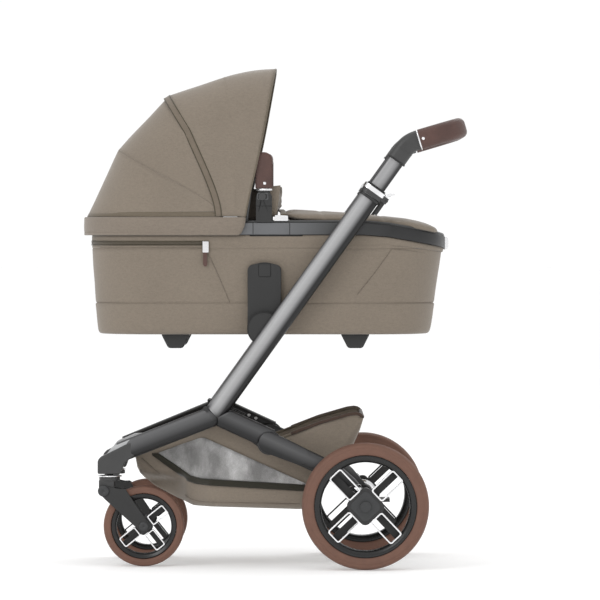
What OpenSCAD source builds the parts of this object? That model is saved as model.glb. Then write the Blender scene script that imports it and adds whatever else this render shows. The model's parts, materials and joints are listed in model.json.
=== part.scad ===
// Baby stroller: a folding pram chassis that carries a lift-off carrycot.
// X runs from the front castors (-) to the push handle (+), Y from the left side (-) to the
// right side (+), Z up from the ground. The origin is on the ground, midway along the pram.

/* [Wheels] */
// Rear tyre outer radius
rear_r = 145; // [130:1:155]
// Rear tyre width
rear_tyre_w = 48; // [40:1:52]
// Front tyre outer radius
front_r = 93; // [80:1:98]
// Front tyre width
front_tyre_w = 36; // [30:1:40]
// Rear wheel centre, along the pram
rear_x = 209; // [195:1:225]
// Rear wheel centre, out from the middle
rear_y = 277.5; // [272:0.5:285]
// Front wheel centre, along the pram
front_x = -299; // [-305:1:-290]
// Castor swivel axis, along the pram
castor_x = -378; // [-385:1:-370]
// Castor swivel axis, out from the middle
castor_y = 155; // [150:1:158]

/* [Frame] */
// Middle plane of the side tubes, out from the middle
tube_y = 232; // [230:1:236]
// Push tube slope
push_angle = 54.4; // [50:0.1:58]
// Side depth of the big tubes
tube_w = 48; // [44:1:50]
// Thickness of the big tubes across the pram
tube_t = 28; // [26:1:29]
// Length of the outer push tube
push_len = 607; // [590:1:620]
// How far the inner tubes stand out of the outer ones
inner_out = 79; // [70:1:90]

/* [Carrycot] */
// Underside of the tub
cot_z0 = 536; // [530:1:540]
// Top of the rim
cot_z1 = 790; // [780:1:795]
// Half width of the tub at the rim
cot_hw = 204; // [196:1:205]
// Wall thickness of the tub
cot_wall = 9; // [6:1:12]

/* [Canopy] */
// Outer radius of the canopy about its hinge
hood_r = 361; // [350:1:364]
// Half width of the canopy
hood_hw = 212; // [209:1:212]
// Thickness of the canopy cloth
hood_t = 4; // [3:0.5:6]

/* [Hidden] */
$fn = 64;
gap = 0.4;

// Colours
c_tube = [0.40, 0.40, 0.41];
c_dark = [0.22, 0.22, 0.22];
c_black = [0.12, 0.12, 0.12];
c_cloth = [0.54, 0.50, 0.46];
c_leather = [0.38, 0.28, 0.26];
c_tyre = [0.42, 0.30, 0.26];
c_silver = [0.75, 0.75, 0.76];

// Directions in the side plane
push_dir = [cos(push_angle), 0, sin(push_angle)];
push_foot = [-130, 0, 361];          // where the push tube's axis starts
function along(t) = push_foot + t * push_dir;

// Knee: the front frame folds about a pin on the inside edge of the mitre
knee = [-155, 0, 366.5];
knee_pin_r = 4;
knuckle_r = 8;
knee_block = 62;                       // where the hollow push tube starts
ear_y = 7;                            // half width of the middle knuckle
ear_t = 6.2;                          // thickness of the outer knuckles
leg_slope = 21.8;
leg_depth = 44;
leg_top = [-140, tube_y, 348];
leg_foot = [-368, castor_y, 256.8];
mitre_tilt = 39.5;                    // the mitre plane's lean back from vertical
arm_slope = -26.5;
arm_start = [-134, 0, 352];

// Rear pivot and rear leg
hip = [-10, 0, 288];
hip_r = 29;
hip_pin_r = 6;
hip_clear = 36;
cheek_t = 8.4;
boss_y = 14.4;                        // half width of the leg's bosses and cheeks
leg_bend = [150, 0, 197.4];
axle_r = 8;

// Castors
swivel_z = 206;
housing_r = 25.5;
stem_r = 8;
fork_pivot = [-391, 0, 174.5];
front_axle_r = 4;

// Handle
inner_w = 39;
inner_t = 19;
elbow_r = 58;
grip_angle = 16.5;
grip_w = 47;
grip_t = 30;
elbow_s = push_len + 16 + inner_out;   // where the elbow starts, along the push tube
elbow_arc_s = elbow_s + 30;
grip_len = 36;                        // straight side of the grip before its corner
grip_corner = 62;
bar_tube_w = 30;
bar_tube_t = 16;

// Canopy hinge
hood_x = -62;
hood_z = 788;
bow_r = 4;
bow_in = hood_t + bow_r + 2 * gap;
hoop_x0 = 62;                          // where the wires leave the hinge plates
seam_rear = 150;
seam_middle = 121.5;
seam_front = 81;
hem_angle = 173;
band_top = 816;
bow_lag = 1.5;                         // how far each wire sits behind its seam
front_bow_lag = 4;

// ---------------------------------------------------------------- helpers

// Oval section: w across X, t across Y
module oval(w, t) {
  square([w - t, t], center = true);
  for (s = [-1, 1]) translate([s * (w - t) / 2, 0]) circle(d = t);
}

module oval_ring(w, t, wall) {
  difference() {
    oval(w, t);
    oval(w - 2 * wall, t - 2 * wall);
  }
}

// Turns +Z to the slope a in the side plane
module slope(a) { rotate([0, 90 - a, 0]) children(); }

// The left side is made and the right side is its mirror image
module sided(side) {
  if (side < 0) children();
  else mirror([0, 1, 0]) children();
}

// A disc across the pram between y0 and y1, out from the middle, on the left side
module disc(p, r, y0, y1) {
  translate([p[0], -y1, p[2]]) rotate([-90, 0, 0]) cylinder(r = r, h = y1 - y0);
}

// Plan outline with rounded corners
module round_plan(x0, x1, hw, r) {
  translate([x0 + r, -hw]) square([x1 - x0 - 2 * r, 2 * hw]);
  translate([x0, -hw + r]) square([x1 - x0, 2 * hw - 2 * r]);
  for (x = [x0 + r, x1 - r], y = [-hw + r, hw - r]) translate([x, y]) circle(r = r);
}

// Side outline pushed across the pram
module across(hw) {
  rotate([90, 0, 0]) translate([0, 0, -hw]) linear_extrude(2 * hw) children();
}

// ---------------------------------------------------------------- push frame

module mitre_cut(sign, g) {
  // half space on one side of the mitre plane through the knee pin
  translate([knee[0], 0, knee[2]]) rotate([0, -mitre_tilt, 0])
    translate([sign > 0 ? g : -200 - g, -300, -200]) cube([200, 600, 400]);
}

module push_tube(side) {
  color(c_tube) sided(side) {
    translate(along(knee_block - 0.5) - [0, tube_y, 0]) slope(push_angle)
      linear_extrude(push_len - knee_block + 0.5) oval_ring(tube_w, tube_t, 4.2);
    // solid block at the knee
    difference() {
      translate(along(-40) - [0, tube_y, 0]) slope(push_angle)
        translate([0.2 - tube_w / 2, 0.2 - tube_t / 2, 0])
          cube([tube_w - 0.4, tube_t - 0.4, knee_block + 40]);
      mitre_cut(-1, -0.2);
      // the lower end also stops short of the rear arm
      translate(arm_start + [0, -300, 0]) rotate([0, -arm_slope, 0])
        translate([-100, 0, -180]) cube([400, 600, 205.5]);
      disc(knee, knuckle_r + gap, tube_y - ear_y - gap, tube_y + ear_y + gap);
      disc(knee, knee_pin_r, tube_y - tube_t, tube_y + tube_t);
    }
    for (y = [tube_y - ear_y - gap - ear_t, tube_y + ear_y + gap])
      difference() {
        union() {
          disc(knee, knuckle_r, y, y + ear_t);
          translate([0, -y - ear_t, 0]) ear_web();
        }
        disc(knee, knee_pin_r, tube_y - tube_t, tube_y + tube_t);
      }
  }
}

// Web from the knuckle to the push tube
module ear_web() {
  translate([knee[0], 0, knee[2]]) slope(push_angle)
    translate([1, 0.2, -2]) cube([13, ear_t - 0.4, 36]);
}

module knee_pins() {
  color(c_silver) for (s = [-1, 1]) sided(s) {
    disc(knee, knee_pin_r - 0.05, tube_y - 15, tube_y + 15);
    disc(knee, knee_pin_r + 2, tube_y + 15, tube_y + 16.5);
  }
}

module collar(side) {
  color(c_dark) sided(side) {
    translate(along(push_len - 4) - [0, tube_y, 0]) slope(push_angle) {
      difference() {
        linear_extrude(22) oval(tube_w + 6, tube_t + 6);
        translate([0, 0, -1]) linear_extrude(5) oval(tube_w + 0.2, tube_t + 0.2);
        translate([0, 0, 3]) linear_extrude(20) oval(inner_w + 0.6, inner_t + 0.6);
      }
    }
    // lever fork on the rear side of the collar
    for (y = [tube_y - 9, tube_y + 5])
      difference() {
        translate(along(push_len + 7) - [0, y + 4, 0]) slope(push_angle)
          translate([(tube_w + 6) / 2 - 4, 0, -7]) cube([16, 4, 14]);
        disc(lever_pin(), 2.5, tube_y - 20, tube_y + 20);
      }
  }
}

function lever_pin() = along(push_len + 7) + 34 * [sin(push_angle), 0, -cos(push_angle)];

module clamp_lever(side) {
  color(c_silver) sided(side) {
    difference() {
      union() {
        disc(lever_pin(), 6, tube_y - 4.6, tube_y + 4.6);
        translate(lever_pin() - [0, tube_y + 4.6, 0]) slope(push_angle)
          translate([-4, 0.4, -40]) cube([7, 8.4, 37]);
      }
      disc(lever_pin(), 2.55, tube_y - 20, tube_y + 20);
    }
    disc(lever_pin(), 2.45, tube_y - 9, tube_y + 9);
  }
}

module seat_hub(side) {
  color(c_black) sided(side) {
    difference() {
      disc(hub_pos, hub_r, tube_y - 17.5, tube_y - 1);
      translate(along(0) - [0, tube_y, 0]) slope(push_angle)
        linear_extrude(400) oval(tube_w + 0.4, tube_t + 0.4);
    }
  }
}
hub_pos = [-22, 0, 548];
hub_r = 38;

// ---------------------------------------------------------------- handle

module inner_tubes() {
  color(c_silver) for (s = [-1, 1]) sided(s)
    translate(along(push_len - 200) - [0, tube_y, 0]) slope(push_angle)
      linear_extrude(200 + elbow_s - push_len) oval_ring(inner_w, inner_t, 3);
}

grip_start = along(elbow_arc_s)
  + elbow_r * [sin(push_angle) - sin(grip_angle), 0, cos(grip_angle) - cos(push_angle)];

module handle_elbow(side) {
  color(c_dark) sided(side) {
    translate(along(elbow_s) - [0, tube_y, 0]) slope(push_angle)
      linear_extrude(30) oval(45, grip_t);
    // the bend turns the tube's slope down to the grip's slope
    translate(along(elbow_arc_s) - [0, tube_y, 0])
      translate(elbow_r * [sin(push_angle), 0, -cos(push_angle)])
        rotate([90, 0, 0]) rotate([0, 0, 90 + grip_angle])
          rotate_extrude(angle = push_angle - grip_angle, $fn = 96)
            translate([elbow_r, 0]) oval(45, grip_t);
    translate(grip_start - [0, tube_y, 0]) slope(grip_angle)
      linear_extrude(5) oval(45, grip_t);
    // moulding beads at both ends of the bend
    translate(along(elbow_arc_s - 1) - [0, tube_y, 0]) slope(push_angle)
      linear_extrude(2) oval(46, grip_t + 1);
    translate(grip_start - [0, tube_y, 0]) slope(grip_angle) translate([0, 0, -1])
      linear_extrude(2) oval(46, grip_t + 1);
  }
}

// U-shaped path of the handlebar: children are the section, w across the slope
module bar_path() {
  translate(grip_start + 5.4 * [cos(grip_angle), 0, sin(grip_angle)]) rotate([0, -grip_angle, 0]) {
    for (s = [-1, 1]) {
      translate([0, s * tube_y, 0]) rotate([0, 90, 0]) linear_extrude(grip_len) children();
      translate([grip_len, s * (tube_y - grip_corner), 0])
        rotate([0, 0, s > 0 ? 0 : -90])
          rotate_extrude(angle = 90, $fn = 96) translate([grip_corner, 0]) rotate(90) children();
    }
    translate([grip_len + grip_corner, tube_y - grip_corner, 0]) rotate([90, 0, 0])
      linear_extrude(2 * (tube_y - grip_corner)) rotate(90) children();
  }
}

module handlebar_core() { color(c_silver) bar_path() oval(bar_tube_w, bar_tube_t); }

module handlebar_grip() {
  color(c_leather) bar_path() difference() {
    oval(grip_w, grip_t);
    oval(bar_tube_w + 0.2, bar_tube_t + 0.2);
  }
}

// ---------------------------------------------------------------- front frame

leg_vec = leg_foot - leg_top;
leg_len = norm(leg_vec);

// Straight bar between two points, its depth kept upright
module leg_bar(extra, w, t) {
  translate([leg_top[0], -leg_top[1], leg_top[2]])
    rotate([0, 0, atan2(-leg_vec[1], leg_vec[0])])
      rotate([0, acos(leg_vec[2] / leg_len), 0])
        translate([0, 0, -extra]) linear_extrude(leg_len + extra) oval(w, t);
}

module front_leg(side) {
  color(c_tube) sided(side) {
    difference() {
      union() {
        difference() {
          leg_bar(26, leg_depth, 26);
          mitre_cut(1, -0.2);
          knee_block_space();
        }
        disc(knee, knuckle_r, tube_y - ear_y, tube_y + ear_y);
      }
      knuckle_relief();
      translate([castor_x, -castor_y, 150]) cylinder(r = housing_r + gap, h = 200);
      translate([-480, -300, 150]) cube([480 + castor_x, 300, 200]);
    }
  }
}

module knuckle_relief() {
  for (y = [tube_y - 15, tube_y + ear_y])
    disc(knee, knuckle_r + gap, y, y + 15 - ear_y);
  disc(knee, knee_pin_r + 0.05, tube_y - tube_t, tube_y + tube_t);
}

// The part of the knee that the rear arm fills
module knee_block_space() {
  translate([arm_start[0] - 8, -300, 200]) cube([200, 300, 300]);
}

module rear_arm(side) {
  color(c_tube) sided(side) {
    difference() {
      union() {
        // arm from the knee to the hip
        translate(arm_start + [-4, -tube_y, 2]) slope(arm_slope)
          linear_extrude(105) oval(tube_w, tube_t);
        disc(hip, hip_r, tube_y - 5, tube_y + 5);
        translate(hip - [0, tube_y + 5, 0]) rotate([0, -arm_slope, 0])
          translate([-hip_clear - 4, 0, -16]) cube([hip_clear + 4, 10, 32]);
      }
      // room for the front leg, the push tube and the rear leg's cheeks
      translate([arm_start[0] - 8 - 200 + gap, -300, 200]) cube([200 - gap, 600, 300]);
      translate(along(-60) - [0, tube_y, 0]) slope(push_angle)
        linear_extrude(300) oval(tube_w + 1, tube_t + 1);
      for (y = [tube_y - 16, tube_y + 5])
        disc(hip, hip_clear - 2, y, y + 11);
      disc(hip, hip_pin_r, tube_y - 20, tube_y + 20);
      translate([knee[0], 0, knee[2]]) knuckle_space();
    }
  }
}

module knuckle_space() {
  translate([-12, -300, -12]) cube([24, 600, 24]);
}

module leg_pins() {
  color(c_silver) for (s = [-1, 1]) sided(s)
    disc(hip, hip_pin_r - 0.05, tube_y - 14, tube_y + 14);
}

module front_bridge() {
  color(c_dark) translate([-322, 0, 275]) rotate([0, -18, 0])
    translate([-14, -128, -6]) cube([28, 256, 12]);
}

module castor_housings() {
  color(c_dark) for (s = [-1, 1]) sided(s)
    difference() {
      translate([castor_x, -castor_y, swivel_z + 1.5]) cylinder(r = housing_r, h = 70);
      // sloping lid
      translate([castor_x - 60, -castor_y - 60, 251]) rotate([0, -leg_slope, 0])
        cube([160, 120, 60]);
      translate([castor_x, -castor_y, swivel_z]) cylinder(r = stem_r, h = 34);
    }
}

// ---------------------------------------------------------------- basket

basket_side = [
  [-318, 262], [-300, 238], [-205, 148], [-178, 135], [66, 130], [96, 146],
  [190, 300], [203, 344], [172, 350], [40, 306], [-60, 268], [-230, 262]
];
basket_cloth = 3.5;

module basket_plan(inset) {
  polygon([
    [-330, -112 + inset], [-300, -118 + inset], [-215, -126 + inset], [-145, -188 + inset],
    [220, -188 + inset], [220, 188 - inset], [-145, 188 - inset], [-215, 126 - inset],
    [-300, 118 - inset], [-330, 112 - inset]
  ]);
}

module basket() {
  color(c_cloth) difference() {
    intersection() {
      linear_extrude(400) basket_plan(0);
      across(250) polygon(basket_side);
    }
    intersection() {
      linear_extrude(500) basket_plan(basket_cloth);
      across(250) polygon([
        [-312, 300], [-312, 262], [-296, 241], [-203, 152], [-177, 139], [65, 134], [93, 149],
        [186, 301], [198, 342], [198, 420], [-312, 420]
      ]);
    }
  }
}

// ---------------------------------------------------------------- castors and wheels

module castor_yoke(side) {
  color(c_dark) sided(side) {
    translate([castor_x, -castor_y, swivel_z]) cylinder(r = stem_r - 0.05, h = 32);
    difference() {
      union() {
        translate([castor_x, -castor_y, swivel_z - 8]) cylinder(r = 24, h = 8);
        // head over the suspension pivot
        for (y = [castor_y - 21, castor_y + 15]) {
          translate([castor_x - 24, -y - 6, 174.5]) cube([34, 6, 24]);
          disc(fork_pivot, 12, y, y + 6);
        }
      }
      disc(fork_pivot, 4, castor_y - 40, castor_y + 40);
    }
    disc(fork_pivot, 3.95, castor_y - 23, castor_y + 23);
  }
}

module fork(side) {
  arm_y = 14.6;
  color(c_dark) sided(side) {
    difference() {
      union() {
        disc(fork_pivot, 12, castor_y - arm_y, castor_y + arm_y);
        // arms on both sides of the wheel
        for (y = [castor_y - 27, castor_y + 21]) {
          translate([fork_pivot[0], -y - 6, fork_pivot[2]])
            rotate([0, fork_tilt, 0]) translate([20, 0, -11]) cube([fork_reach - 20, 6, 20]);
          disc([front_x, 0, front_r], 12, y, y + 6);
        }
        translate([fork_pivot[0], -castor_y, fork_pivot[2]]) rotate([0, fork_tilt, 0]) {
          translate([16, -26.5, -10]) cube([10.5, 53, 18]);
          translate([5, -arm_y + 0.3, -9]) cube([14, 2 * arm_y - 0.6, 16]);
        }
      }
      disc(fork_pivot, 4, castor_y - 40, castor_y + 40);
    }
    disc([front_x, 0, front_r], front_axle_r, castor_y - 29, castor_y + 29);
  }
}
fork_vec = [front_x - fork_pivot[0], front_r - fork_pivot[2]];
fork_reach = norm(fork_vec);
fork_tilt = atan2(-fork_vec[1], fork_vec[0]);

// Tyre section turned about the axle: flat sides, crowned tread
module tyre_ring(r, w, rim_r) {
  rotate([90, 0, 0]) rotate_extrude($fn = 96) intersection() {
    translate([rim_r, -w / 2]) square([r - rim_r, w]);
    translate([r - w * 0.62, 0]) union() {
      circle(r = w * 0.62);
      translate([-w, -w / 2]) square([w, w]);
    }
  }
}

module front_tyre(side) {
  color(c_tyre) sided(side) translate([front_x, -castor_y, front_r])
    tyre_ring(front_r, front_tyre_w, front_r * 0.81);
}

module rear_tyre(side) {
  color(c_tyre) sided(side) translate([rear_x, -rear_y, rear_r])
    tyre_ring(rear_r, rear_tyre_w, rear_r * 0.825);
}

// Rim with four wide spokes
module spoked_rim(r, w, hub_r, bore_r, spoke_w) {
  rotate([90, 0, 0]) difference() {
    union() {
      difference() {
        translate([0, 0, -w / 2]) cylinder(r = r, h = w, $fn = 96);
        translate([0, 0, -w]) cylinder(r = r * 0.81, h = 2 * w, $fn = 96);
      }
      translate([0, 0, -w / 2]) cylinder(r = hub_r, h = w);
      for (a = [45, 135]) rotate(a - 3.4)
        translate([-r * 0.9, -spoke_w / 2, -w * 0.3]) cube([r * 1.8, spoke_w, w * 0.6]);
    }
    translate([0, 0, -w]) cylinder(r = bore_r, h = 2 * w);
  }
}

module front_rim(side) {
  color(c_black) sided(side) translate([front_x, -castor_y, front_r])
    spoked_rim(front_r * 0.81 - 0.2, 30, 15, front_axle_r + 0.05, 24);
}

module rear_rim(side) {
  color(c_black) sided(side) translate([rear_x, -rear_y, rear_r])
    spoked_rim(rear_r * 0.825 - 0.2, 40, 37, axle_r + 0.05, 38);
}

// ---------------------------------------------------------------- rear frame

bend_slope = atan2(leg_bend[2] - hip[2], leg_bend[0] - hip[0]);
toe_slope = atan2(rear_r - leg_bend[2], rear_x - leg_bend[0]);

module rear_leg(side) {
  upper = norm([leg_bend[0] - hip[0], leg_bend[2] - hip[2]]);
  lower = norm([rear_x - leg_bend[0], rear_r - leg_bend[2]]);
  color(c_tube) sided(side) {
    difference() {
      union() {
        translate([0, tube_t / 2 - tube_y, 0]) rotate([90, 0, 0]) linear_extrude(tube_t) {
          translate([hip[0], hip[2]]) rotate(bend_slope) translate([hip_clear, -23])
            square([upper - hip_clear, 46]);
          translate([leg_bend[0], leg_bend[2]]) circle(r = 23);
          translate([leg_bend[0], leg_bend[2]]) rotate(toe_slope) translate([0, -23])
            square([lower, 46]);
          translate([rear_x, rear_r]) circle(r = 24.5);
        }
        for (y = [tube_y - boss_y, tube_y + boss_y - cheek_t]) {
          disc(hip, hip_r, y, y + cheek_t);
          translate(hip - [0, y + cheek_t, 0]) rotate([0, -bend_slope, 0])
            translate([2, 0.2, -21]) cube([hip_clear + 4, cheek_t - 0.4, 42]);
        }
      }
      disc(hip, hip_pin_r, tube_y - 20, tube_y + 20);
      disc([rear_x, 0, rear_r], axle_r, tube_y - 20, tube_y + 20);
    }
  }
}

module rear_axle() {
  color(c_silver) {
    disc([rear_x, 0, rear_r], axle_r - 0.02, -300, 300);
    for (s = [-1, 1]) sided(s) disc([rear_x, 0, rear_r], 12, 300, 303);
  }
}

module brake_pedal() {
  color(c_dark) difference() {
    union() {
      disc([rear_x, 0, rear_r], 15, -45, 45);
      translate([rear_x + 8, -38, rear_r - 4]) cube([52, 76, 8]);
    }
    disc([rear_x, 0, rear_r], axle_r + 0.05, -60, 60);
  }
}

// ---------------------------------------------------------------- adapters

button_pos = [-21, 0, 675];

module adapter(side) {
  color(c_black) sided(side) difference() {
    translate([0, -213.6, 0]) rotate([-90, 0, 0]) linear_extrude(8) mirror([0, 1])
      polygon([[-60, 531], [17, 531], [17, 692], [0, 698], [-43, 698], [-60, 692]]);
    disc(button_pos, 13, 207.5, 215);
  }
}

module adapter_button(side) {
  color(c_dark) sided(side) disc(button_pos, 12.7, 210, 214.6);
}

// ---------------------------------------------------------------- carrycot

rim_top = [
  [-430, cot_z1], [205, cot_z1], [262, cot_z1 - 5], [325, cot_z1 - 16], [378, cot_z1 - 26],
  [410, cot_z1 - 36]
];
rim_h = 27;

// Everything below the rim's top line, lowered by d
module under_rim(d) {
  across(300) polygon(concat([for (p = rim_top) p - [0, d]], [[410, 500], [-430, 500]]));
}

module tub(inset, z0) {
  hull() {
    translate([0, 0, z0]) linear_extrude(1)
      round_plan(-402 + inset, 352 - inset, cot_hw - 12 - inset, 110 - inset, $fn = 48);
    translate([0, 0, cot_z1]) linear_extrude(1)
      round_plan(-419 + inset, 393 - inset, cot_hw - inset, 130 - inset, $fn = 48);
  }
}

module cot_shell() {
  color(c_cloth) difference() {
    intersection() {
      tub(0, cot_z0);
      under_rim(rim_h + gap);
    }
    tub(cot_wall, cot_z0 + cot_wall);
  }
}

module cot_rim() {
  color(c_dark) intersection() {
    difference() {
      translate([0, 0, 700]) linear_extrude(120) round_plan(-421, 396, cot_hw + 2, 131);
      translate([0, 0, 690]) linear_extrude(140) round_plan(-405, 380, cot_hw - 14, 115);
    }
    under_rim(0);
    difference() {
      translate([-500, -300, 600]) cube([1000, 600, 300]);
      under_rim(rim_h);
    }
  }
}

module cot_feet() {
  color(c_black) for (x = [-226, 187], s = [-1, 1])
    translate([x, s * 150, 0]) rotate([90, 0, 0]) translate([0, 0, -12]) linear_extrude(24)
      polygon([[-34, cot_z0 - gap], [34, cot_z0 - gap], [17, 502], [-17, 502]]);
}

module mattress() {
  color("white") translate([0, 0, cot_z0 + cot_wall + 1.5]) linear_extrude(34)
    round_plan(-390, 340, cot_hw - 26, 96);
}

module apron() {
  color(c_cloth) intersection() {
    translate([0, 0, 700]) linear_extrude(140) round_plan(14, 384, cot_hw - 8, 60);
    difference() {
      across(250) polygon([
        [0, 815], [60, 812], [160, 806], [218, 801], [304, 792], [347, 783], [372, 772],
        [390, 766], [410, 700], [0, 700]
      ]);
      under_rim(-1);
      translate([0, 0, 700]) linear_extrude(200) translate([-40, -180]) square([400, 360]);
    }
  }
  color(c_cloth) intersection() {
    translate([0, 0, 700]) linear_extrude(140) round_plan(14, 384, cot_hw - 8, 60);
    across(184) polygon([
      [14, 815], [60, 812], [160, 806], [218, 801], [304, 792], [347, 783], [366, 775],
      [366, 767], [300, 779], [160, 794], [60, 800], [14, 803]
    ]);
  }
}

module canopy_band() {
  color(c_cloth) difference() {
    translate([0, 0, 762]) linear_extrude(band_top - 762) round_plan(-440, 100, 213, 150);
    translate([0, 0, 750]) linear_extrude(80) round_plan(-434, 94, 208, 145);
    translate([hood_x, -300, 740]) cube([300, 600, 120]);
  }
}

// ---------------------------------------------------------------- canopy

// Arched section about the hinge line: radius along X, width along Y
module arch_section(r, hw, c) {
  translate([0, -hw]) square([r - c, 2 * hw]);
  translate([0, -hw + c]) square([r, 2 * hw - 2 * c]);
  for (s = [-1, 1]) translate([r - c, s * (hw - c)]) circle(r = c);
}

// A shell of the canopy between two angles, measured up from the foot end
module hood_panel(a0, a1, r, t) {
  difference() {
    translate([hood_x, 0, hood_z]) rotate([90, 0, 0]) rotate([0, 0, a0])
      rotate_extrude(angle = a1 - a0, $fn = 96)
        difference() {
          translate([0.01, 0]) arch_section(r, hood_hw, 95);
          translate([-5, 0]) arch_section(r - t + 5, hood_hw - t, 91);
          translate([-1, -300]) square([hoop_x0 - 1, 600]);
        }
    // the cloth stops above the band
    translate([-500, -300, 700]) cube([1000, 600, band_top + 1 - 700]);
  }
}

module canopy_rear() { color(c_cloth) hood_panel(seam_rear + 0.3, hem_angle, hood_r - 8, hood_t); }

module canopy_middle() {
  color(c_cloth) hood_panel(seam_middle + 0.3, seam_rear - 0.3, hood_r - 4, hood_t);
}

module canopy_front() {
  color(c_cloth) hood_panel(seam_front, seam_middle - 0.3, hood_r, hood_t);
}

// A hoop that holds the cloth out
module bow(a, r) {
  translate([hood_x, 0, hood_z]) rotate([90, 0, 0]) rotate([0, 0, a]) {
    c = 86;
    hw = hood_hw - bow_in;
    for (s = [-1, 1]) {
      translate([hoop_x0, 0, s * hw]) rotate([0, 90, 0])
        cylinder(r = bow_r, h = r - c - hoop_x0);
      // ferrules join the straight wires to the corners
      translate([r - c - 2, 0, s * hw]) rotate([0, 90, 0]) cylinder(r = bow_r + 0.3, h = 4);
      translate([r, 0, s * (hw - c) - 2]) cylinder(r = bow_r + 0.3, h = 4);
      translate([r - c, 0, s * (hw - c)]) rotate([90 * s, 0, 0])
        rotate_extrude(angle = 90, $fn = 64) translate([c, 0]) circle(r = bow_r, $fn = 24);
    }
    translate([r, 0, -(hw - c)]) cylinder(r = bow_r, h = 2 * (hw - c));
  }
}

module bow_rear() { color(c_black) bow(seam_rear + bow_lag, hood_r - 8 - bow_in); }
module bow_middle() { color(c_black) bow(seam_middle + bow_lag, hood_r - 4 - bow_in); }
module bow_front() { color(c_black) bow(seam_front + front_bow_lag, hood_r - bow_in); }

// ---------------------------------------------------------------- carry handle

post_x = -22.6;
post_w = 37;
carry_hinge = [post_x, 0, 846.5];
carry_top = 952;
strap_w = 40;
tab_z = 866;                           // underside of the leather tabs

// Fixed outer cheeks, rounded about the hinge
module carry_posts() {
  color(c_black) for (s = [-1, 1]) sided(s) difference() {
    union() {
      translate([post_x - post_w / 2, -207, cot_z1 + 0.8])
        cube([post_w, 4.5, carry_hinge[2] - cot_z1 - 0.8]);
      disc(carry_hinge, post_w / 2, 202.5, 207);
    }
    disc(post_button_pos, 9, 202, 208);
  }
}
post_button_pos = [post_x - 4, 0, 850];

module post_button(side) {
  color(c_dark) sided(side) disc(post_button_pos, 8.7, 204.2, 208);
}

// Hinge blocks inside the cheeks: the leather tabs stand on them
module carry_blocks() {
  color(c_black) for (s = [-1, 1]) sided(s) {
    disc(carry_hinge, post_w / 2, 196, 202.1);
    translate([post_x - 14, -202, carry_hinge[2]]) cube([28, 5.9, tab_z - 0.1 - carry_hinge[2]]);
  }
}

// Leather tabs on both sides and the bar that joins them across the cot
module carry_grip() {
  color(c_leather) {
    for (s = [-1, 1]) sided(s) {
      translate([post_x - strap_w / 2, -207, tab_z])
        cube([strap_w, 11, carry_top - strap_w / 2 - tab_z]);
      disc([post_x, 0, carry_top - strap_w / 2], strap_w / 2, 196, 207);
    }
    translate([post_x - 4, -198, carry_top - 27]) cube([22, 396, 24]);
  }
}

module zip_slider() {
  color(c_silver) translate([-163, -cot_hw - 4.4, 722]) cube([14, 4, 26]);
}

push_tube(-1);  // push_tube_left
push_tube(1);  // push_tube_right
collar(-1);  // collar_left
collar(1);  // collar_right
seat_hub(-1);  // seat_hub_left
seat_hub(1);  // seat_hub_right
knee_pins();
inner_tubes();
handle_elbow(-1);  // handle_elbow_left
handle_elbow(1);  // handle_elbow_right
handlebar_core();
handlebar_grip();
clamp_lever(-1);  // clamp_lever_left
clamp_lever(1);  // clamp_lever_right
front_leg(-1);  // front_leg_left
front_leg(1);  // front_leg_right
rear_arm(-1);  // rear_arm_left
rear_arm(1);  // rear_arm_right
front_bridge();
castor_housings();
leg_pins();
basket();
castor_yoke(-1);  // castor_yoke_left
castor_yoke(1);  // castor_yoke_right
fork(-1);  // fork_left
fork(1);  // fork_right
front_tyre(-1);  // front_tyre_left
front_tyre(1);  // front_tyre_right
front_rim(-1);  // front_rim_left
front_rim(1);  // front_rim_right
rear_leg(-1);  // rear_leg_left
rear_leg(1);  // rear_leg_right
rear_axle();
brake_pedal();
rear_tyre(-1);  // rear_tyre_left
rear_tyre(1);  // rear_tyre_right
rear_rim(-1);  // rear_rim_left
rear_rim(1);  // rear_rim_right
adapter(-1);  // adapter_left
adapter(1);  // adapter_right
adapter_button(-1);  // adapter_button_left
adapter_button(1);  // adapter_button_right
cot_shell();
cot_rim();
cot_feet();
mattress();
apron();
canopy_band();
canopy_rear();
canopy_middle();
canopy_front();
bow_rear();
bow_middle();
bow_front();
carry_posts();
carry_grip();
carry_blocks();
post_button(-1);  // post_button_left
post_button(1);  // post_button_right
zip_slider();
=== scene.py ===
import json
import math

import bmesh
import bpy
import numpy as np
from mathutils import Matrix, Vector, noise


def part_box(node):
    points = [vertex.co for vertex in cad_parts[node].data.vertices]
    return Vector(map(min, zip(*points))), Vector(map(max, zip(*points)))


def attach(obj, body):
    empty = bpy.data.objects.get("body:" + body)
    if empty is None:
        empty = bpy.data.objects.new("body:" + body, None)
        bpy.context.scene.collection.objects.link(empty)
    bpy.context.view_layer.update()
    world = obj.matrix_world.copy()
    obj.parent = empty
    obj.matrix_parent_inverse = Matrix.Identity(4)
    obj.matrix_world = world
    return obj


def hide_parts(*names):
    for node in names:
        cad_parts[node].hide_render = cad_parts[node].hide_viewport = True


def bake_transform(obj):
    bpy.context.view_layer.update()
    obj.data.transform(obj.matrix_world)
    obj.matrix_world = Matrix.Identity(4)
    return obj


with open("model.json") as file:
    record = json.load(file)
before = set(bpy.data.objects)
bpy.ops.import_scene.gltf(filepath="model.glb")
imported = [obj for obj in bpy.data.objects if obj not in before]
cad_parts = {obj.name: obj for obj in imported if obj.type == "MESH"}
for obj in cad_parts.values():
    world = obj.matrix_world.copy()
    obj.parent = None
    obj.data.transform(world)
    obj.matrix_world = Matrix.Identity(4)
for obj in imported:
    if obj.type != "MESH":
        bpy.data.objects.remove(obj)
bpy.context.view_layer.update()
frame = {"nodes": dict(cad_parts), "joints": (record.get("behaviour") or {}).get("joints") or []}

# The looks of a folding pram with a carrycot. Metres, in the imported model's own frame:
# +X towards the push handle, -Y the pram's left side, +Z up, the ground at 0.

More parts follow.
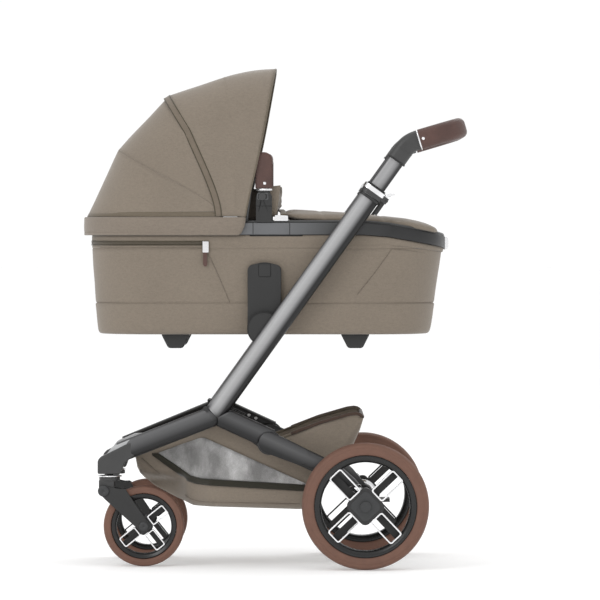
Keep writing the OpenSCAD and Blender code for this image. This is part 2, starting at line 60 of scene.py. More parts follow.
MM = 0.001
CAMERA_PLACE = (0.060, -10.91, 0.770)
CAMERA_TILT = 0.838
CAMERA_LENS = 280.6
TUBE_Y = 0.232
CASTOR_Y = 0.155
PUSH_FOOT = Vector((-0.130, 0, 0.361))
PUSH_DIRECTION = Vector((0.5821, 0, 0.8131))
ARM_ORIGIN = Vector((-0.130, 0, 0.352))
ARM_SLOPE = 24.8
SIDES = (-1, 1)
PIVOT = {j["name"]: Vector(j["pos_m"]) for j in frame["joints"] if "pos_m" in j}
SIDE_NAME = {-1: "left", 1: "right"}


# ---------------------------------------------------------------- mesh helpers

def new_object(name, vertices, faces, material=None, smooth=True):
    mesh = bpy.data.meshes.new(name)
    mesh.from_pydata([tuple(v) for v in vertices], [], faces)
    mesh.update()
    if smooth:
        mesh.shade_smooth()
    else:
        mesh.shade_flat()
    obj = bpy.data.objects.new(name, mesh)
    bpy.context.scene.collection.objects.link(obj)
    if material:
        mesh.materials.append(material)
    return obj


def loft(name, rings, material=None, closed=True, caps=False, wrap=False):
    """Skin through rings that all have the same number of points."""
    count = len(rings[0])
    vertices = [p for ring in rings for p in ring]
    faces = []
    last = len(rings) if wrap else len(rings) - 1
    for i in range(last):
        a, b = i * count, (i + 1) % len(rings) * count
        for j in range(count if closed else count - 1):
            k = (j + 1) % count
            faces.append((a + j, a + k, b + k, b + j))
    if caps:
        faces.append(tuple(range(count))[::-1])
        faces.append(tuple(range(len(vertices) - count, len(vertices))))
    obj = new_object(name, vertices, faces, material)
    face_outward(obj)
    return obj


def face_outward(obj):
    mesh = bmesh.new()
    mesh.from_mesh(obj.data)
    bmesh.ops.recalc_face_normals(mesh, faces=mesh.faces)
    mesh.to_mesh(obj.data)
    mesh.free()


def join(name, parts):
    """One object from several, keeping each one's material."""
    vertices, faces, slots, materials = [], [], [], []
    for part in parts:
        start = len(vertices)
        vertices += [v.co.copy() for v in part.data.vertices]
        material = part.data.materials[0]
        if material not in materials:
            materials.append(material)
        for face in part.data.polygons:
            faces.append(tuple(start + v for v in face.vertices))
            slots.append(materials.index(material))
        bpy.data.objects.remove(part)
    obj = new_object(name, vertices, faces)
    for material in materials:
        obj.data.materials.append(material)
    obj.data.polygons.foreach_set("material_index", slots)
    return obj


def circle(radius, steps, start=0.0, sweep=2 * math.pi):
    return [(radius * math.cos(start + sweep * i / steps), radius * math.sin(start + sweep * i / steps))
            for i in range(steps)]


def rounded_box_outline(w, h, r, steps=5):
    """Closed outline of a w by h rectangle with round corners, about its middle."""
    points = []
    for cx, cy, a0 in ((w / 2 - r, h / 2 - r, 0), (r - w / 2, h / 2 - r, 90),
                       (r - w / 2, r - h / 2, 180), (w / 2 - r, r - h / 2, 270)):
        for i in range(steps + 1):
            a = math.radians(a0 + 90 * i / steps)
            points.append((cx + r * math.cos(a), cy + r * math.sin(a)))
    return points


def rounded(points, r, steps=5):
    """A closed outline with each corner turned into an arc of radius r."""
    out = []
    for i, p in enumerate(points):
        p, a, b = Vector(p), Vector(points[i - 1]), Vector(points[(i + 1) % len(points)])
        u, v = (a - p), (b - p)
        reach = min(r, u.length * 0.45, v.length * 0.45)
        a, b = p + u.normalized() * reach, p + v.normalized() * reach
        for k in range(steps + 1):
            t = k / steps
            out.append(tuple(a * (1 - t) ** 2 + p * 2 * t * (1 - t) + b * t * t))
    return out


def slab(name, outline, y0, y1, material=None, hole=None):
    """An outline in the side plane, made solid from y0 to y1, with an optional hole."""
    near = [Vector((x, y0, z)) for x, z in outline]
    far = [Vector((x, y1, z)) for x, z in outline]
    if hole is None:
        return loft(name, [near, far], material, caps=True)
    inner_near = [Vector((x, y0, z)) for x, z in hole]
    inner_far = [Vector((x, y1, z)) for x, z in hole]
    return loft(name, [near, far, inner_far, inner_near], material, wrap=True)


def path_frames(points, up=Vector((0, 1, 0))):
    """For each point of a path: its place, and two directions across it."""
    frames = []
    for i, p in enumerate(points):
        along = (points[min(i + 1, len(points) - 1)] - points[max(i - 1, 0)]).normalized()
        side = up.cross(along)
        if side.length < 1e-4:
            side = Vector((1, 0, 0))
        side.normalize()
        frames.append((p, side, along.cross(side)))
    return frames


def sweep(name, points, section, material=None, up=Vector((0, 1, 0)), caps=True, wrap=False):
    """A section carried along a path: its first number goes sideways, its second along up."""
    rings = [[p + side * a + top * b for a, b in section] for p, side, top in path_frames(points, up)]
    return loft(name, rings, material, caps=caps and not wrap, wrap=wrap)


def lathe(name, centre, profile, material=None, steps=96):
    """A closed profile of (radius, y) turned about the line along Y through centre."""
    rings = []
    for i in range(steps):
        a = 2 * math.pi * i / steps
        rings.append([centre + Vector((r * math.cos(a), y, r * math.sin(a))) for r, y in profile])
    return loft(name, rings, material, wrap=True)


def stitches(name, points, normals, material, length=4 * MM, space=2.6 * MM, radius=0.5 * MM):
    """A row of separate thread stitches lying on a path."""
    parts, walked = [], 0.0
    for i in range(1, len(points)):
        a, b, n = points[i - 1], points[i], normals[i]
        step = (b - a).length
        if step < 1e-7:
            continue
        direction = (b - a) / step
        while walked <= step:
            middle = a + direction * walked
            across = direction.cross(n).normalized()
            rings = []
            for t, k in ((-0.5, 0.25), (-0.3, 0.9), (0.3, 0.9), (0.5, 0.25)):
                c = middle + direction * (t * length)
                rings.append([c + (across * x + n * y) * (radius * k) for x, y in circle(1, 5)])
            parts.append(loft("stitch", rings, material, caps=True))
            walked += length + space
        walked -= step
    return join(name, parts)


def bake(obj):
    """Turns the modifiers on obj into its mesh."""
    graph = bpy.context.evaluated_depsgraph_get()
    mesh = bpy.data.meshes.new_from_object(obj.evaluated_get(graph))
    obj.modifiers.clear()
    obj.data = mesh
    return obj


def thicken(obj, thickness, offset=0.0, smooth=0):
    solid = obj.modifiers.new("thickness", "SOLIDIFY")
    solid.thickness = thickness
    solid.offset = offset
    if smooth:
        obj.modifiers.new("smooth", "SUBSURF").levels = smooth
        obj.modifiers["smooth"].render_levels = smooth
    return bake(obj)


def soften(obj, width, angle=35, segments=2, weld=False):
    """Small round edges where faces meet at a corner."""
    if weld:
        obj.modifiers.new("weld", "WELD").merge_threshold = 1e-5
    bevel = obj.modifiers.new("edges", "BEVEL")
    bevel.width = width
    bevel.segments = segments
    bevel.limit_method = "ANGLE"
    bevel.angle_limit = math.radians(angle)
    bevel.harden_normals = True
    return obj


def subdivide(obj, levels=1):
    rounder = obj.modifiers.new("rounder", "SUBSURF")
    rounder.levels = levels
    rounder.render_levels = levels
    return obj


def smoothstep(t):
    t = min(1.0, max(0.0, t))
    return t * t * (3 - 2 * t)


def mix(a, b, t):
    return a * (1 - t) + b * t


def along_line(points, x):
    """Height of a polyline of (x, z) points at x."""
    for (x0, z0), (x1, z1) in zip(points, points[1:]):
        if x <= x1 or (x1, z1) == tuple(points[-1]):
            return mix(z0, z1, min(1.0, max(0.0, (x - x0) / (x1 - x0))))


def sample(points, count):
    """Points spaced evenly along a polyline of Vectors."""
    lengths = [0.0]
    for a, b in zip(points, points[1:]):
        lengths.append(lengths[-1] + (b - a).length)
    out, k = [], 0
    for i in range(count):
        d = lengths[-1] * i / (count - 1)
        while k < len(points) - 2 and lengths[k + 1] < d:
            k += 1
        step = lengths[k + 1] - lengths[k] or 1
        out.append(points[k].lerp(points[k + 1], (d - lengths[k]) / step))
    return out


def even_outline(w, h, r, count=48):
    """A rounded rectangle's outline with its points spread evenly."""
    outline = [Vector((a, b, 0)) for a, b in rounded_box_outline(w, h, r, 6)]
    return [(p.x, p.y) for p in sample(outline + outline[:1], count + 1)[:-1]]


def cut_tube(name, origin, along, section, cuts, length, material, disc=None, steps=16):
    """A tube with its near end cut back to lines in the side plane, square at its far end.

    section gives how far up and how far out each point is; a cut is a place and a normal; the
    far end is hollowed to clear a disc when one is given by its middle and radius."""
    e = along.normalized()
    up = (Vector((0, 0, 1)) - e * e.z).normalized()
    out = e.cross(up)
    rings = [[] for _ in range(steps + 1)]
    for a, b in section:
        base = origin + up * a + out * b
        start = max(((x - base.x) * nx + (z - base.z) * nz) / (e.x * nx + e.z * nz)
                    for (x, z), (nx, nz) in cuts)
        end = length
        if disc:
            away = Vector((disc[0].x - base.x, 0, disc[0].z - base.z))
            past = away.dot(e)
            end = past - math.sqrt(max(0.0, disc[1] ** 2 - (away - e * past).length_squared))
        for i in range(steps + 1):
            rings[i].append(base + e * mix(start, end, i / steps))
    return loft(name, rings, material, caps=True)


def finish_piece(obj, body, slot, *nodes):
    if body:
        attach(obj, body)
    if nodes:
        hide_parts(*nodes)
    return obj


# ---------------------------------------------------------------- materials

class Paint:
    """One procedural material, in object coordinates, built up node by node."""

    def __init__(self, name, roughness, metallic=0.0, sheen=0.0, coat=0.0, specular=0.5):
        self.material = bpy.data.materials.new(name)
        self.material.use_nodes = True
        self.tree = self.material.node_tree
        self.shader = self.tree.nodes["Principled BSDF"]
        for socket, value in (("Roughness", roughness), ("Metallic", metallic), ("Sheen Weight", sheen),
                              ("Coat Weight", coat), ("Specular IOR Level", specular)):
            self.shader.inputs[socket].default_value = value
        self.place = self.tree.nodes.new("ShaderNodeTexCoord").outputs["Object"]

    def node(self, kind, inputs=None, **settings):
        made = self.tree.nodes.new("ShaderNode" + kind)
        for key, value in settings.items():
            setattr(made, key, value)
        for key, value in (inputs or {}).items():
            if isinstance(value, bpy.types.NodeSocket):
                self.tree.links.new(value, made.inputs[key])
            else:
                made.inputs[key].default_value = value
        return made

    def scaled(self, x, y, z, turn=0.0):
        return self.node("Mapping", {"Vector": self.place, "Scale": (x, y, z),
                                     "Rotation": (0, turn, 0)}).outputs[0]

    def noise(self, vector, scale, detail=2.0, rough=0.5):
        return self.node("TexNoise", {"Vector": vector, "Scale": scale, "Detail": detail,
                                      "Roughness": rough}).outputs["Fac"]

    def ramp(self, value, *stops):
        made = self.node("ValToRGB", {"Fac": value})
        ramp = made.color_ramp
        while len(ramp.elements) < len(stops):
            ramp.elements.new(0.5)
        for element, (position, colour) in zip(ramp.elements, stops):
            element.position = position
            element.color = (*colour, 1) if isinstance(colour, tuple) else (colour, colour, colour, 1)
        return made.outputs["Color"]

    def blend(self, a, b, fac, how="MIX"):
        made = self.node("Mix", data_type="RGBA", blend_type=how)
        for index, value in ((0, fac), (6, a), (7, b)):
            if isinstance(value, bpy.types.NodeSocket):
                self.tree.links.new(value, made.inputs[index])
            else:
                made.inputs[index].default_value = (*value, 1) if isinstance(value, tuple) else value
        return made.outputs[2]

    def math(self, how, a, b):
        made = self.node("Math", operation=how)
        for index, value in ((0, a), (1, b)):
            if isinstance(value, bpy.types.NodeSocket):
                self.tree.links.new(value, made.inputs[index])
            else:
                made.inputs[index].default_value = value
        return made.outputs[0]

    def colour(self, socket):
        self.tree.links.new(socket, self.shader.inputs["Base Color"])

    def roughness(self, socket):
        self.tree.links.new(socket, self.shader.inputs["Roughness"])

    def bump(self, height, strength, distance):
        made = self.node("Bump", {"Height": height, "Strength": strength, "Distance": distance})
        self.tree.links.new(made.outputs[0], self.shader.inputs["Normal"])


def srgb(r, g, b):
    """A linear colour from the 0 to 255 values that a screen shows."""
    def linear(v):
        v /= 255
        return v / 12.92 if v <= 0.04045 else ((v + 0.055) / 1.055) ** 2.4
    return (linear(r), linear(g), linear(b))


def darker(colour, k):
    return tuple(min(1.0, c * k) for c in colour)


def woven(name, colour, contrast=0.075, thread=0.0011, strength=0.2):
    """Melange cloth: flecked yarns, a fine plain weave and soft large-scale unevenness."""
    p = Paint(name, 0.88, sheen=0.25, specular=0.25)
    yarn = p.noise(p.scaled(0.42 / thread, 1 / thread, 1 / thread), 1.0, 2.0)
    fleck = p.noise(p.scaled(120, 260, 260), 1.0, 3.0, 0.6)
    cloud = p.noise(p.place, 9.0, 3.0)
    flecks = p.ramp(p.math("ADD", p.math("MULTIPLY", yarn, 0.55), p.math("MULTIPLY", fleck, 0.45)),
                    (0.34, darker(colour, 1 - contrast * 1.6)), (0.5, colour),
                    (0.68, darker(colour, 1 + contrast * 1.5)))
    p.colour(p.blend(flecks, p.ramp(cloud, (0.3, 0.96), (0.7, 1.03)), 1.0, "MULTIPLY"))
    rows = [p.node("TexWave", {"Vector": p.place, "Scale": 0.5 / thread, "Distortion": 1.2,
                               "Detail": 1.0, "Detail Scale": 1.0}, bands_direction=d).outputs["Fac"]
            for d in ("X", "Z")]
    weave = p.math("ADD", p.math("MULTIPLY", rows[0], rows[1]), p.math("MULTIPLY", fleck, 0.8))
    p.bump(weave, strength, 0.0004)
    return p.material


def mesh_window_material():
    """Coarse grey net over cloudy lighter and darker patches."""
    p = Paint("basket_net", 0.7, sheen=0.1, specular=0.3)
    cloud = p.noise(p.scaled(14, 14, 10), 1.0, 4.0, 0.6)
    net = p.node("TexVoronoi", {"Vector": p.scaled(420, 420, 420), "Scale": 1.0},
                 feature="DISTANCE_TO_EDGE").outputs["Distance"]
    patches = p.ramp(cloud, (0.34, srgb(118, 117, 116)), (0.5, srgb(152, 151, 150)), (0.66, srgb(192, 191, 191)))
    p.colour(p.blend(patches, p.ramp(net, (0.02, 1.12), (0.2, 0.82)), 1.0, "MULTIPLY"))
    p.bump(p.ramp(net, (0.02, 1.0), (0.25, 0.0)), 0.35, 0.0005)
    return p.material


def leather(name, colour):
    p = Paint(name, 0.5, sheen=0.05, specular=0.4)
    grain = p.node("TexVoronoi", {"Vector": p.place, "Scale": 620.0, "Randomness": 1.0},
                   feature="DISTANCE_TO_EDGE").outputs["Distance"]
    soft = p.noise(p.place, 26.0, 4.0)
    tone = p.ramp(soft, (0.3, darker(colour, 0.82)), (0.7, darker(colour, 1.16)))
    p.colour(p.blend(tone, p.ramp(grain, (0.0, 0.78), (0.12, 1.0)), 1.0, "MULTIPLY"))
    p.roughness(p.ramp(soft, (0.3, 0.44), (0.7, 0.6)))
    p.bump(p.ramp(grain, (0.0, 0.0), (0.2, 1.0)), 0.35, 0.0004)
    return p.material


def plastic(name, colour, roughness=0.45, grain=900.0, strength=0.12):
    """Moulded plastic with a fine spark-eroded grain and faint handling marks."""
    p = Paint(name, roughness, specular=0.45)
    fine = p.noise(p.place, grain, 2.0)
    wear = p.noise(p.place, 17.0, 5.0, 0.6)
    p.colour(p.ramp(wear, (0.3, darker(colour, 0.88)), (0.75, darker(colour, 1.14))))
    p.roughness(p.ramp(wear, (0.3, roughness - 0.05), (0.7, roughness + 0.08)))
    p.bump(fine, strength, 0.0002)
    return p.material


def metal(name, colour, roughness, turn=0.0, metallic=1.0):
    """Drawn metal: fine lines along its length and slight tarnish."""
    p = Paint(name, roughness, metallic=metallic)
    lines = p.noise(p.scaled(12, 900, 900, turn), 1.0, 2.0)
    cloud = p.noise(p.place, 14.0, 3.0)
    tone = p.ramp(cloud, (0.3, darker(colour, 0.92)), (0.7, darker(colour, 1.05)))
    p.colour(p.blend(tone, p.ramp(lines, (0.2, 0.93), (0.8, 1.05)), 1.0, "MULTIPLY"))
    p.roughness(p.ramp(lines, (0.25, roughness - 0.04), (0.75, roughness + 0.06)))
    p.bump(lines, 0.05, 0.0002)
    return p.material


def painted_light_tube(name, point, slope, width, stops, splay=None, roughness=0.4, metallic=0.2):
    """Anodised tube whose tone changes from its upper edge to its lower edge as painted light and shade: a painted
    highlight band in its upper part, then painted shade darkening to black along its lower edge.

    With splay, how fast |y| grows along x, the side that faces the other tube is painted black as shade."""
    p = Paint(name, roughness, metallic=metallic)
    a = math.radians(slope)
    down = Vector((math.sin(a), 0, -math.cos(a)))
    offset = p.node("VectorMath", {0: p.place, 1: tuple(point)}, operation="SUBTRACT").outputs[0]
    below = p.node("VectorMath", {0: offset, 1: tuple(down)}, operation="DOT_PRODUCT").outputs["Value"]
    share = p.node("MapRange", {"Value": below, "From Min": -width / 2, "From Max": width / 2}).outputs[0]
    lines = p.noise(p.scaled(10, 800, 800, -a), 1.0, 2.0)
    # painted highlight and shade: the stops set the tone from the tube's upper edge to its lower edge
    tone = p.ramp(share, *[(k, srgb(v, v, v + 1)) for k, v in stops])
    # painted shade: the inner side, facing the other tube, is blended to black
    if splay is not None:
        parts = p.node("SeparateXYZ", {"Vector": offset})
        out = p.math("ABSOLUTE", parts.outputs["Y"], 0.0)
        out = p.math("SUBTRACT", out, p.math("MULTIPLY", parts.outputs["X"], splay))
        inside = p.node("MapRange", {"Value": out, "From Min": TUBE_Y - 0.003, "From Max": TUBE_Y + 0.001})
        tone = p.blend(srgb(20, 20, 20), tone, inside.outputs[0])
    p.colour(p.blend(tone, p.ramp(lines, (0.2, 0.93), (0.8, 1.06)), 1.0, "MULTIPLY"))
    p.roughness(p.ramp(lines, (0.25, roughness - 0.04), (0.75, roughness + 0.06)))
    p.bump(lines, 0.04, 0.0002)
    return p.material


def rim_satin():
    """The rim's satin material; its colour darkens along x, from grey at the head end to nearly black towards the
    foot.
    """
    p = Paint("rim_satin", 0.36, specular=0.45)
    x = p.node("SeparateXYZ", {"Vector": p.place}).outputs["X"]
    share = p.node("MapRange", {"Value": x, "From Min": 0.02, "From Max": 0.27}).outputs[0]
    wear = p.noise(p.place, 17.0, 5.0, 0.6)
    tone = p.ramp(share, (0.0, srgb(97, 98, 100)), (0.45, srgb(70, 71, 72)), (1.0, srgb(30, 30, 31)))
    p.colour(p.blend(tone, p.ramp(wear, (0.3, 0.94), (0.75, 1.06)), 1.0, "MULTIPLY"))
    p.roughness(p.ramp(wear, (0.3, 0.32), (0.7, 0.44)))
    p.bump(p.noise(p.place, 900.0, 2.0), 0.05, 0.0002)
    return p.material


def rubber(name, colour):
    p = Paint(name, 0.72, specular=0.3)
    dust = p.noise(p.place, 30.0, 5.0, 0.65)
    fine = p.noise(p.place, 1400.0, 2.0)
    p.colour(p.ramp(dust, (0.3, darker(colour, 0.9)), (0.72, darker(colour, 1.12))))
    p.roughness(p.ramp(dust, (0.3, 0.66), (0.7, 0.8)))
    p.bump(fine, 0.2, 0.0003)
    return p.material


CLOTH = srgb(126, 116, 104)
M = {
    "cloth": woven("melange_cloth", CLOTH),
    "hem": woven("hem_cloth", srgb(104, 95, 82)),
    "band": woven("band_cloth", srgb(126, 116, 105)),
    "zip": woven("zip_tape", srgb(72, 66, 52), thread=0.0016),
    "groove": woven("zip_groove", srgb(84, 77, 66), thread=0.0016),
    "seam": woven("seam_thread", srgb(112, 102, 90), thread=0.0008),
    # lining: lining cloth coloured dark as painted shade of the cot's inside
    "lining": woven("lining_cloth_painted_shade", srgb(58, 52, 46), contrast=0.08),
    "sheet": woven("mattress_cotton", srgb(222, 218, 208), contrast=0.03, thread=0.0009),
    "basket_band": woven("basket_binding", srgb(44, 42, 34), thread=0.0012),
    "flap_edge": woven("flap_edge", srgb(70, 55, 47), thread=0.0012),
    "net": mesh_window_material(),
    "leather": leather("brown_leather", srgb(84, 60, 54)),
    "thread": woven("leather_thread", srgb(62, 46, 42), thread=0.0006),
    "black": plastic("black_plastic", srgb(38, 38, 38), 0.46),
    "gloss": plastic("gloss_black", srgb(24, 24, 24), 0.24, strength=0.03),
    "dark": plastic("dark_plastic", srgb(58, 58, 58), 0.42),
    "satin": plastic("satin_grey", srgb(100, 101, 102), 0.38, strength=0.05),
    # lid: pale colour as a painted highlight on the castor covers' top faces
    "lid": plastic("pale_lid_highlight", srgb(176, 177, 178), 0.4, strength=0.05),
    "rim": rim_satin(),
    "shade": plastic("shadow_black", srgb(22, 22, 22), 0.6),
    "chrome": metal("satin_chrome", (0.78, 0.78, 0.79), 0.16),
    "silver": metal("silver_trim", (0.86, 0.86, 0.87), 0.2),
    "steel": metal("steel_pins", (0.6, 0.6, 0.6), 0.3),
    "wire": metal("bow_wire", (0.06, 0.06, 0.06), 0.4, metallic=0.4),
    "tyre": rubber("brown_rubber", srgb(112, 83, 71)),
    "cap": plastic("wheel_cap", srgb(50, 51, 52), 0.36),
}


# ---------------------------------------------------------------- camera, lights, floor

def make_camera():
    data = bpy.data.cameras.new("camera")
    data.lens = CAMERA_LENS
    data.sensor_width = 36
    data.clip_end = 200
    camera = bpy.data.objects.new("camera", data)
    camera.location = CAMERA_PLACE
    camera.rotation_euler = (math.radians(90 - CAMERA_TILT), 0, 0)
    bpy.context.scene.collection.objects.link(camera)
    bpy.context.scene.camera = camera


def make_light(name, place, target, size, power, height=None):
    data = bpy.data.lights.new(name, "AREA")
    data.energy = power
    data.shape = "RECTANGLE"
    data.size = size
    data.size_y = height or size
    light = bpy.data.objects.new(name, data)
    light.location = place
    light.rotation_euler = (Vector(target) - Vector(place)).to_track_quat("-Z", "Y").to_euler()
    bpy.context.scene.collection.objects.link(light)


def make_studio():
    world = bpy.data.worlds.new("studio")
    bpy.context.scene.world = world
    world.use_nodes = True
    nodes, links = world.node_tree.nodes, world.node_tree.links
    direction = nodes.new("ShaderNodeTexCoord").outputs["Generated"]
    height = nodes.new("ShaderNodeSeparateXYZ")
    links.new(direction, height.inputs[0])
    ramp = nodes.new("ShaderNodeValToRGB")
    for position, value in ((0.0, 1.02), (0.16, 1.02), (0.42, 0.80), (1.0, 1.28)):
        element = ramp.color_ramp.elements.new(position)
        element.color = (value, value, value, 1)
    ramp.color_ramp.elements.remove(ramp.color_ramp.elements[0])
    ramp.color_ramp.elements.remove(ramp.color_ramp.elements[-1])
    links.new(height.outputs["Z"], ramp.inputs[0])
    links.new(ramp.outputs[0], nodes["Background"].inputs["Color"])
    bpy.context.scene.view_settings.view_transform = "Standard"
    p = Paint("pale_floor", 0.9, specular=0.1)
    p.colour(p.ramp(p.noise(p.place, 0.8, 3.0), (0.3, 0.86), (0.7, 0.9)))
    p.shader.inputs["Emission Color"].default_value = (1, 1, 1, 1)
    p.shader.inputs["Emission Strength"].default_value = 0.21
    rings = [[Vector((r * x, r * y, 0)) for x, y in circle(1, 64)] for r in (0.0001, 2, 8, 30, 90)]
    floor = loft("floor", rings, p.material, closed=True)
    make_light("key", (-2.0, -3.0, 2.6), (-0.1, 0, 0.6), 1.8, 34)
    make_light("fill", (4.0, -5.0, 2.2), (0, 0, 0.6), 2.4, 5)
    make_light("top", (0.2, 0.6, 5.0), (0, 0, 0.5), 3.0, 30)
    make_light("back", (1.5, 5.0, 3.5), (0, 0, 0.7), 2.5, 30)


# ---------------------------------------------------------------- frame finishes

PUSH_SLOPE = math.degrees(math.atan2(*[next(j for j in frame["joints"] if j["name"] == "handle_telescope")
                                       ["axis"][k] for k in (2, 0)]))
HIP = PIVOT["rear_leg_fold"]


def frame_finishes():
    """Each CAD node that stays gets its own finish, and small round edges where it needs them."""
    # painted highlight and shade in the inner tubes' colour, from a light band to black along the lower edge
    inner = painted_light_tube("inner_tube_painted_light", PUSH_FOOT, PUSH_SLOPE, 0.034,
                        ((0.0, 70), (0.12, 150), (0.45, 158), (0.72, 128), (0.88, 60), (1.0, 24)))
    finishes = {
        inner: ("inner_tubes", "handlebar_core"),
        M["dark"]: ("collar_left", "collar_right", "handle_elbow_left", "handle_elbow_right", "front_bridge",
                    "castor_housings", "castor_yoke_left", "castor_yoke_right", "brake_pedal",
                    "adapter_button_left", "adapter_button_right", "post_button_left", "post_button_right"),
        M["rim"]: ("cot_rim",),
        M["black"]: ("seat_hub_left", "seat_hub_right", "cot_feet", "carry_posts",
                     "carry_blocks", "knee_pins", "leg_pins", "clamp_lever_left", "clamp_lever_right"),
        M["cap"]: ("rear_axle",),
        M["chrome"]: ("zip_slider",),
        M["leather"]: ("handlebar_grip",),
    }
    for material, names in finishes.items():
        for name in names:
            data = frame["nodes"][name].data
            data.materials.clear()
            data.materials.append(material)
    for name, width in (("cot_feet", 4), ("brake_pedal", 1.5), ("front_bridge", 2),
                        ("castor_housings", 2), ("castor_yoke_left", 1.5), ("castor_yoke_right", 1.5),
                        ("cot_rim", 1.2), ("carry_posts", 1), ("zip_slider", 1.5)):
        soften(frame["nodes"][name], width * MM, weld=True)


# ---------------------------------------------------------------- chassis tubes

KNEE_TOP = (-0.1494, 0.3677)
KNEE_TIP = (-0.1297, 0.3456)
ARM_START = (-0.0957, 0.3627)


def normal_to(a, b):
    """Normal in the side plane of the line from a to b."""
    return (a[1] - b[1], b[0] - a[0])


def chassis_tubes():
    """Push tubes, front legs and rear arms, mitred into each other at the knee."""
    tube = even_outline(0.048, 0.0285, 0.0125)
    # painted highlight and shade: each tube's colour runs from a light band near its upper edge to black along its
    # lower edge, and with splay the inner side of the legs and arms is painted black as shade
    shade = painted_light_tube("push_tube_painted_light", PUSH_FOOT, PUSH_SLOPE, 0.048,
                        ((0.0, 44), (0.06, 118), (0.28, 172), (0.52, 150), (0.68, 90), (0.77, 24), (1.0, 14)))
    leg_shade = painted_light_tube("front_leg_painted_light", Vector((-0.140, 0, 0.348)), 21.8, 0.044,
                            ((0.0, 64), (0.08, 92), (0.35, 80), (0.58, 58), (0.74, 24), (1.0, 14)),
                            splay=0.338)
    arm_shade = painted_light_tube("rear_arm_painted_light", Vector((-0.0964, 0, 0.3366)), -24.8, 0.0475,
                            ((0.0, 36), (0.12, 60), (0.38, 74), (0.60, 50), (0.76, 22), (1.0, 14)),
                            splay=0.0)
    toe_shade = painted_light_tube("rear_leg_painted_light", Vector((-0.010, 0, 0.2895)), -24.6, 0.044,
                            ((0.0, 34), (0.12, 60), (0.38, 80), (0.62, 58), (0.82, 26), (1.0, 14)))
    drop = (KNEE_TIP[0] + 0.0004, 0.3239)
    for side in SIDES:
        name = SIDE_NAME[side]
        y = side * TUBE_Y
        push_length = (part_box(f"push_tube_{name}")[1].z - 0.006 - PUSH_FOOT.z) / PUSH_DIRECTION.z
        cuts = [(KNEE_TIP, normal_to(KNEE_TOP, KNEE_TIP)), (KNEE_TIP, normal_to(KNEE_TIP, ARM_START))]
        push = cut_tube(f"push_tube_shape_{name}", PUSH_FOOT + Vector((0, y, 0)), PUSH_DIRECTION, tube, cuts,
                        push_length, shade)
        finish_piece(push, "push_frame", "frame_tube", f"push_tube_{name}")
        leg_dir = Vector((-0.228, side * (CASTOR_Y - TUBE_Y), -0.0912))
        cuts = [(KNEE_TOP, normal_to(KNEE_TOP, KNEE_TIP)), (KNEE_TIP, normal_to(KNEE_TIP, drop))]
        leg = cut_tube(f"front_leg_shape_{name}", Vector((-0.140, y, 0.348)), leg_dir,
                       even_outline(0.0465, 0.0262, 0.0125), cuts, leg_dir.length * 0.93, leg_shade)
        finish_piece(leg, "front_frame", "frame_tube", f"front_leg_{name}")
        arm_dir = Vector((math.cos(math.radians(ARM_SLOPE)), 0, -math.sin(math.radians(ARM_SLOPE))))
        cuts = [(KNEE_TIP, normal_to(KNEE_TIP, ARM_START)), (KNEE_TIP, normal_to(KNEE_TIP, drop))]
        arm_start = ARM_ORIGIN + Vector((0, y, 0))
        arm = cut_tube(f"rear_arm_shape_{name}", arm_start, arm_dir, even_outline(0.0475, 0.0285, 0.0125), cuts,
                       0.098, arm_shade, disc=(HIP, 0.0256))
        ear = slab("ear", tapered_bar((-0.052, 0.3155), (HIP.x, HIP.z), 0.0195, 0.0235), y - 0.0048, y + 0.0048,
                   M["black"])
        finish_piece(join(f"rear_arm_shape_{name}", [arm, ear]), "front_frame", "frame_tube", f"rear_arm_{name}")
        axle = PIVOT[f"rear_wheel_{name}_spin"]
        parts = []
        for inner, outer in ((0.0061, 0.0143), (-0.0143, -0.0061)):
            cheek = tapered_bar((HIP.x, HIP.z), (0.062, 0.2570), 0.0245, 0.0205)
            parts.append(slab("cheek", cheek, y + side * inner, y + side * outer, toe_shade))
        line = [(0.026, 0.2735), (0.08, 0.2485), (0.118, 0.2305), (0.145, 0.2135), (0.17, 0.192), (axle.x, axle.z)]
        route = sample([Vector((x, y, z)) for x, z in line], 24)
        parts.append(sweep("toe", route, even_outline(0.0415, 0.0284, 0.0125), toe_shade))
        parts.append(slab("eye", [(axle.x + a, axle.z + b) for a, b in circle(0.0235, 32)], y - 0.0142, y + 0.0142,
                          toe_shade))
        leg = soften(join(f"rear_leg_shape_{name}", parts), 2.2 * MM, angle=50, segments=3)
        finish_piece(leg, "rear_frame", "frame_tube", f"rear_leg_{name}")


# ---------------------------------------------------------------- carrycot outline

COT_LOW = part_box("cot_shell")[0]
RIM_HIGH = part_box("cot_rim")[1]
TUB_FOOT = COT_LOW.z - 2 * MM
SKIRT_Z = 0.606


def plan_outline(x0, x1, hw, r, steps=14, straight=10):
    """Closed plan outline from the middle of the foot end, round the left side first."""
    points = []
    corners = ((x1 - r, r - hw, 0), (x0 + r, r - hw, -90), (x0 + r, hw - r, -180), (x1 - r, hw - r, -270))
    for i, (cx, cy, a0) in enumerate(corners):
        for k in range(steps + 1):
            a = math.radians(a0 - 90 * k / steps)
            points.append(Vector((cx + r * math.cos(a), cy + r * math.sin(a), 0)))
        nx, ny, na = corners[(i + 1) % 4]
        start = points[-1].copy()
        a = math.radians(na)
        end = Vector((nx + r * math.cos(a), ny + r * math.sin(a), 0))
        for k in range(1, straight):
            points.append(start.lerp(end, k / straight))
    return points


def tub_ring(z, out=0.0):
    """Outer line of the tub at a height, out from the shell by a little."""
    t = (z - COT_LOW.z) / (0.790 - COT_LOW.z)
    x0 = mix(-0.406, -0.424, t) - out
    x1 = mix(0.358, 0.396, t) + out
    hw = mix(0.192, 0.204, t) + out
    r = mix(0.110, 0.130, t)
    return [p + Vector((0, 0, z)) for p in plan_outline(x0, x1, hw, r)]


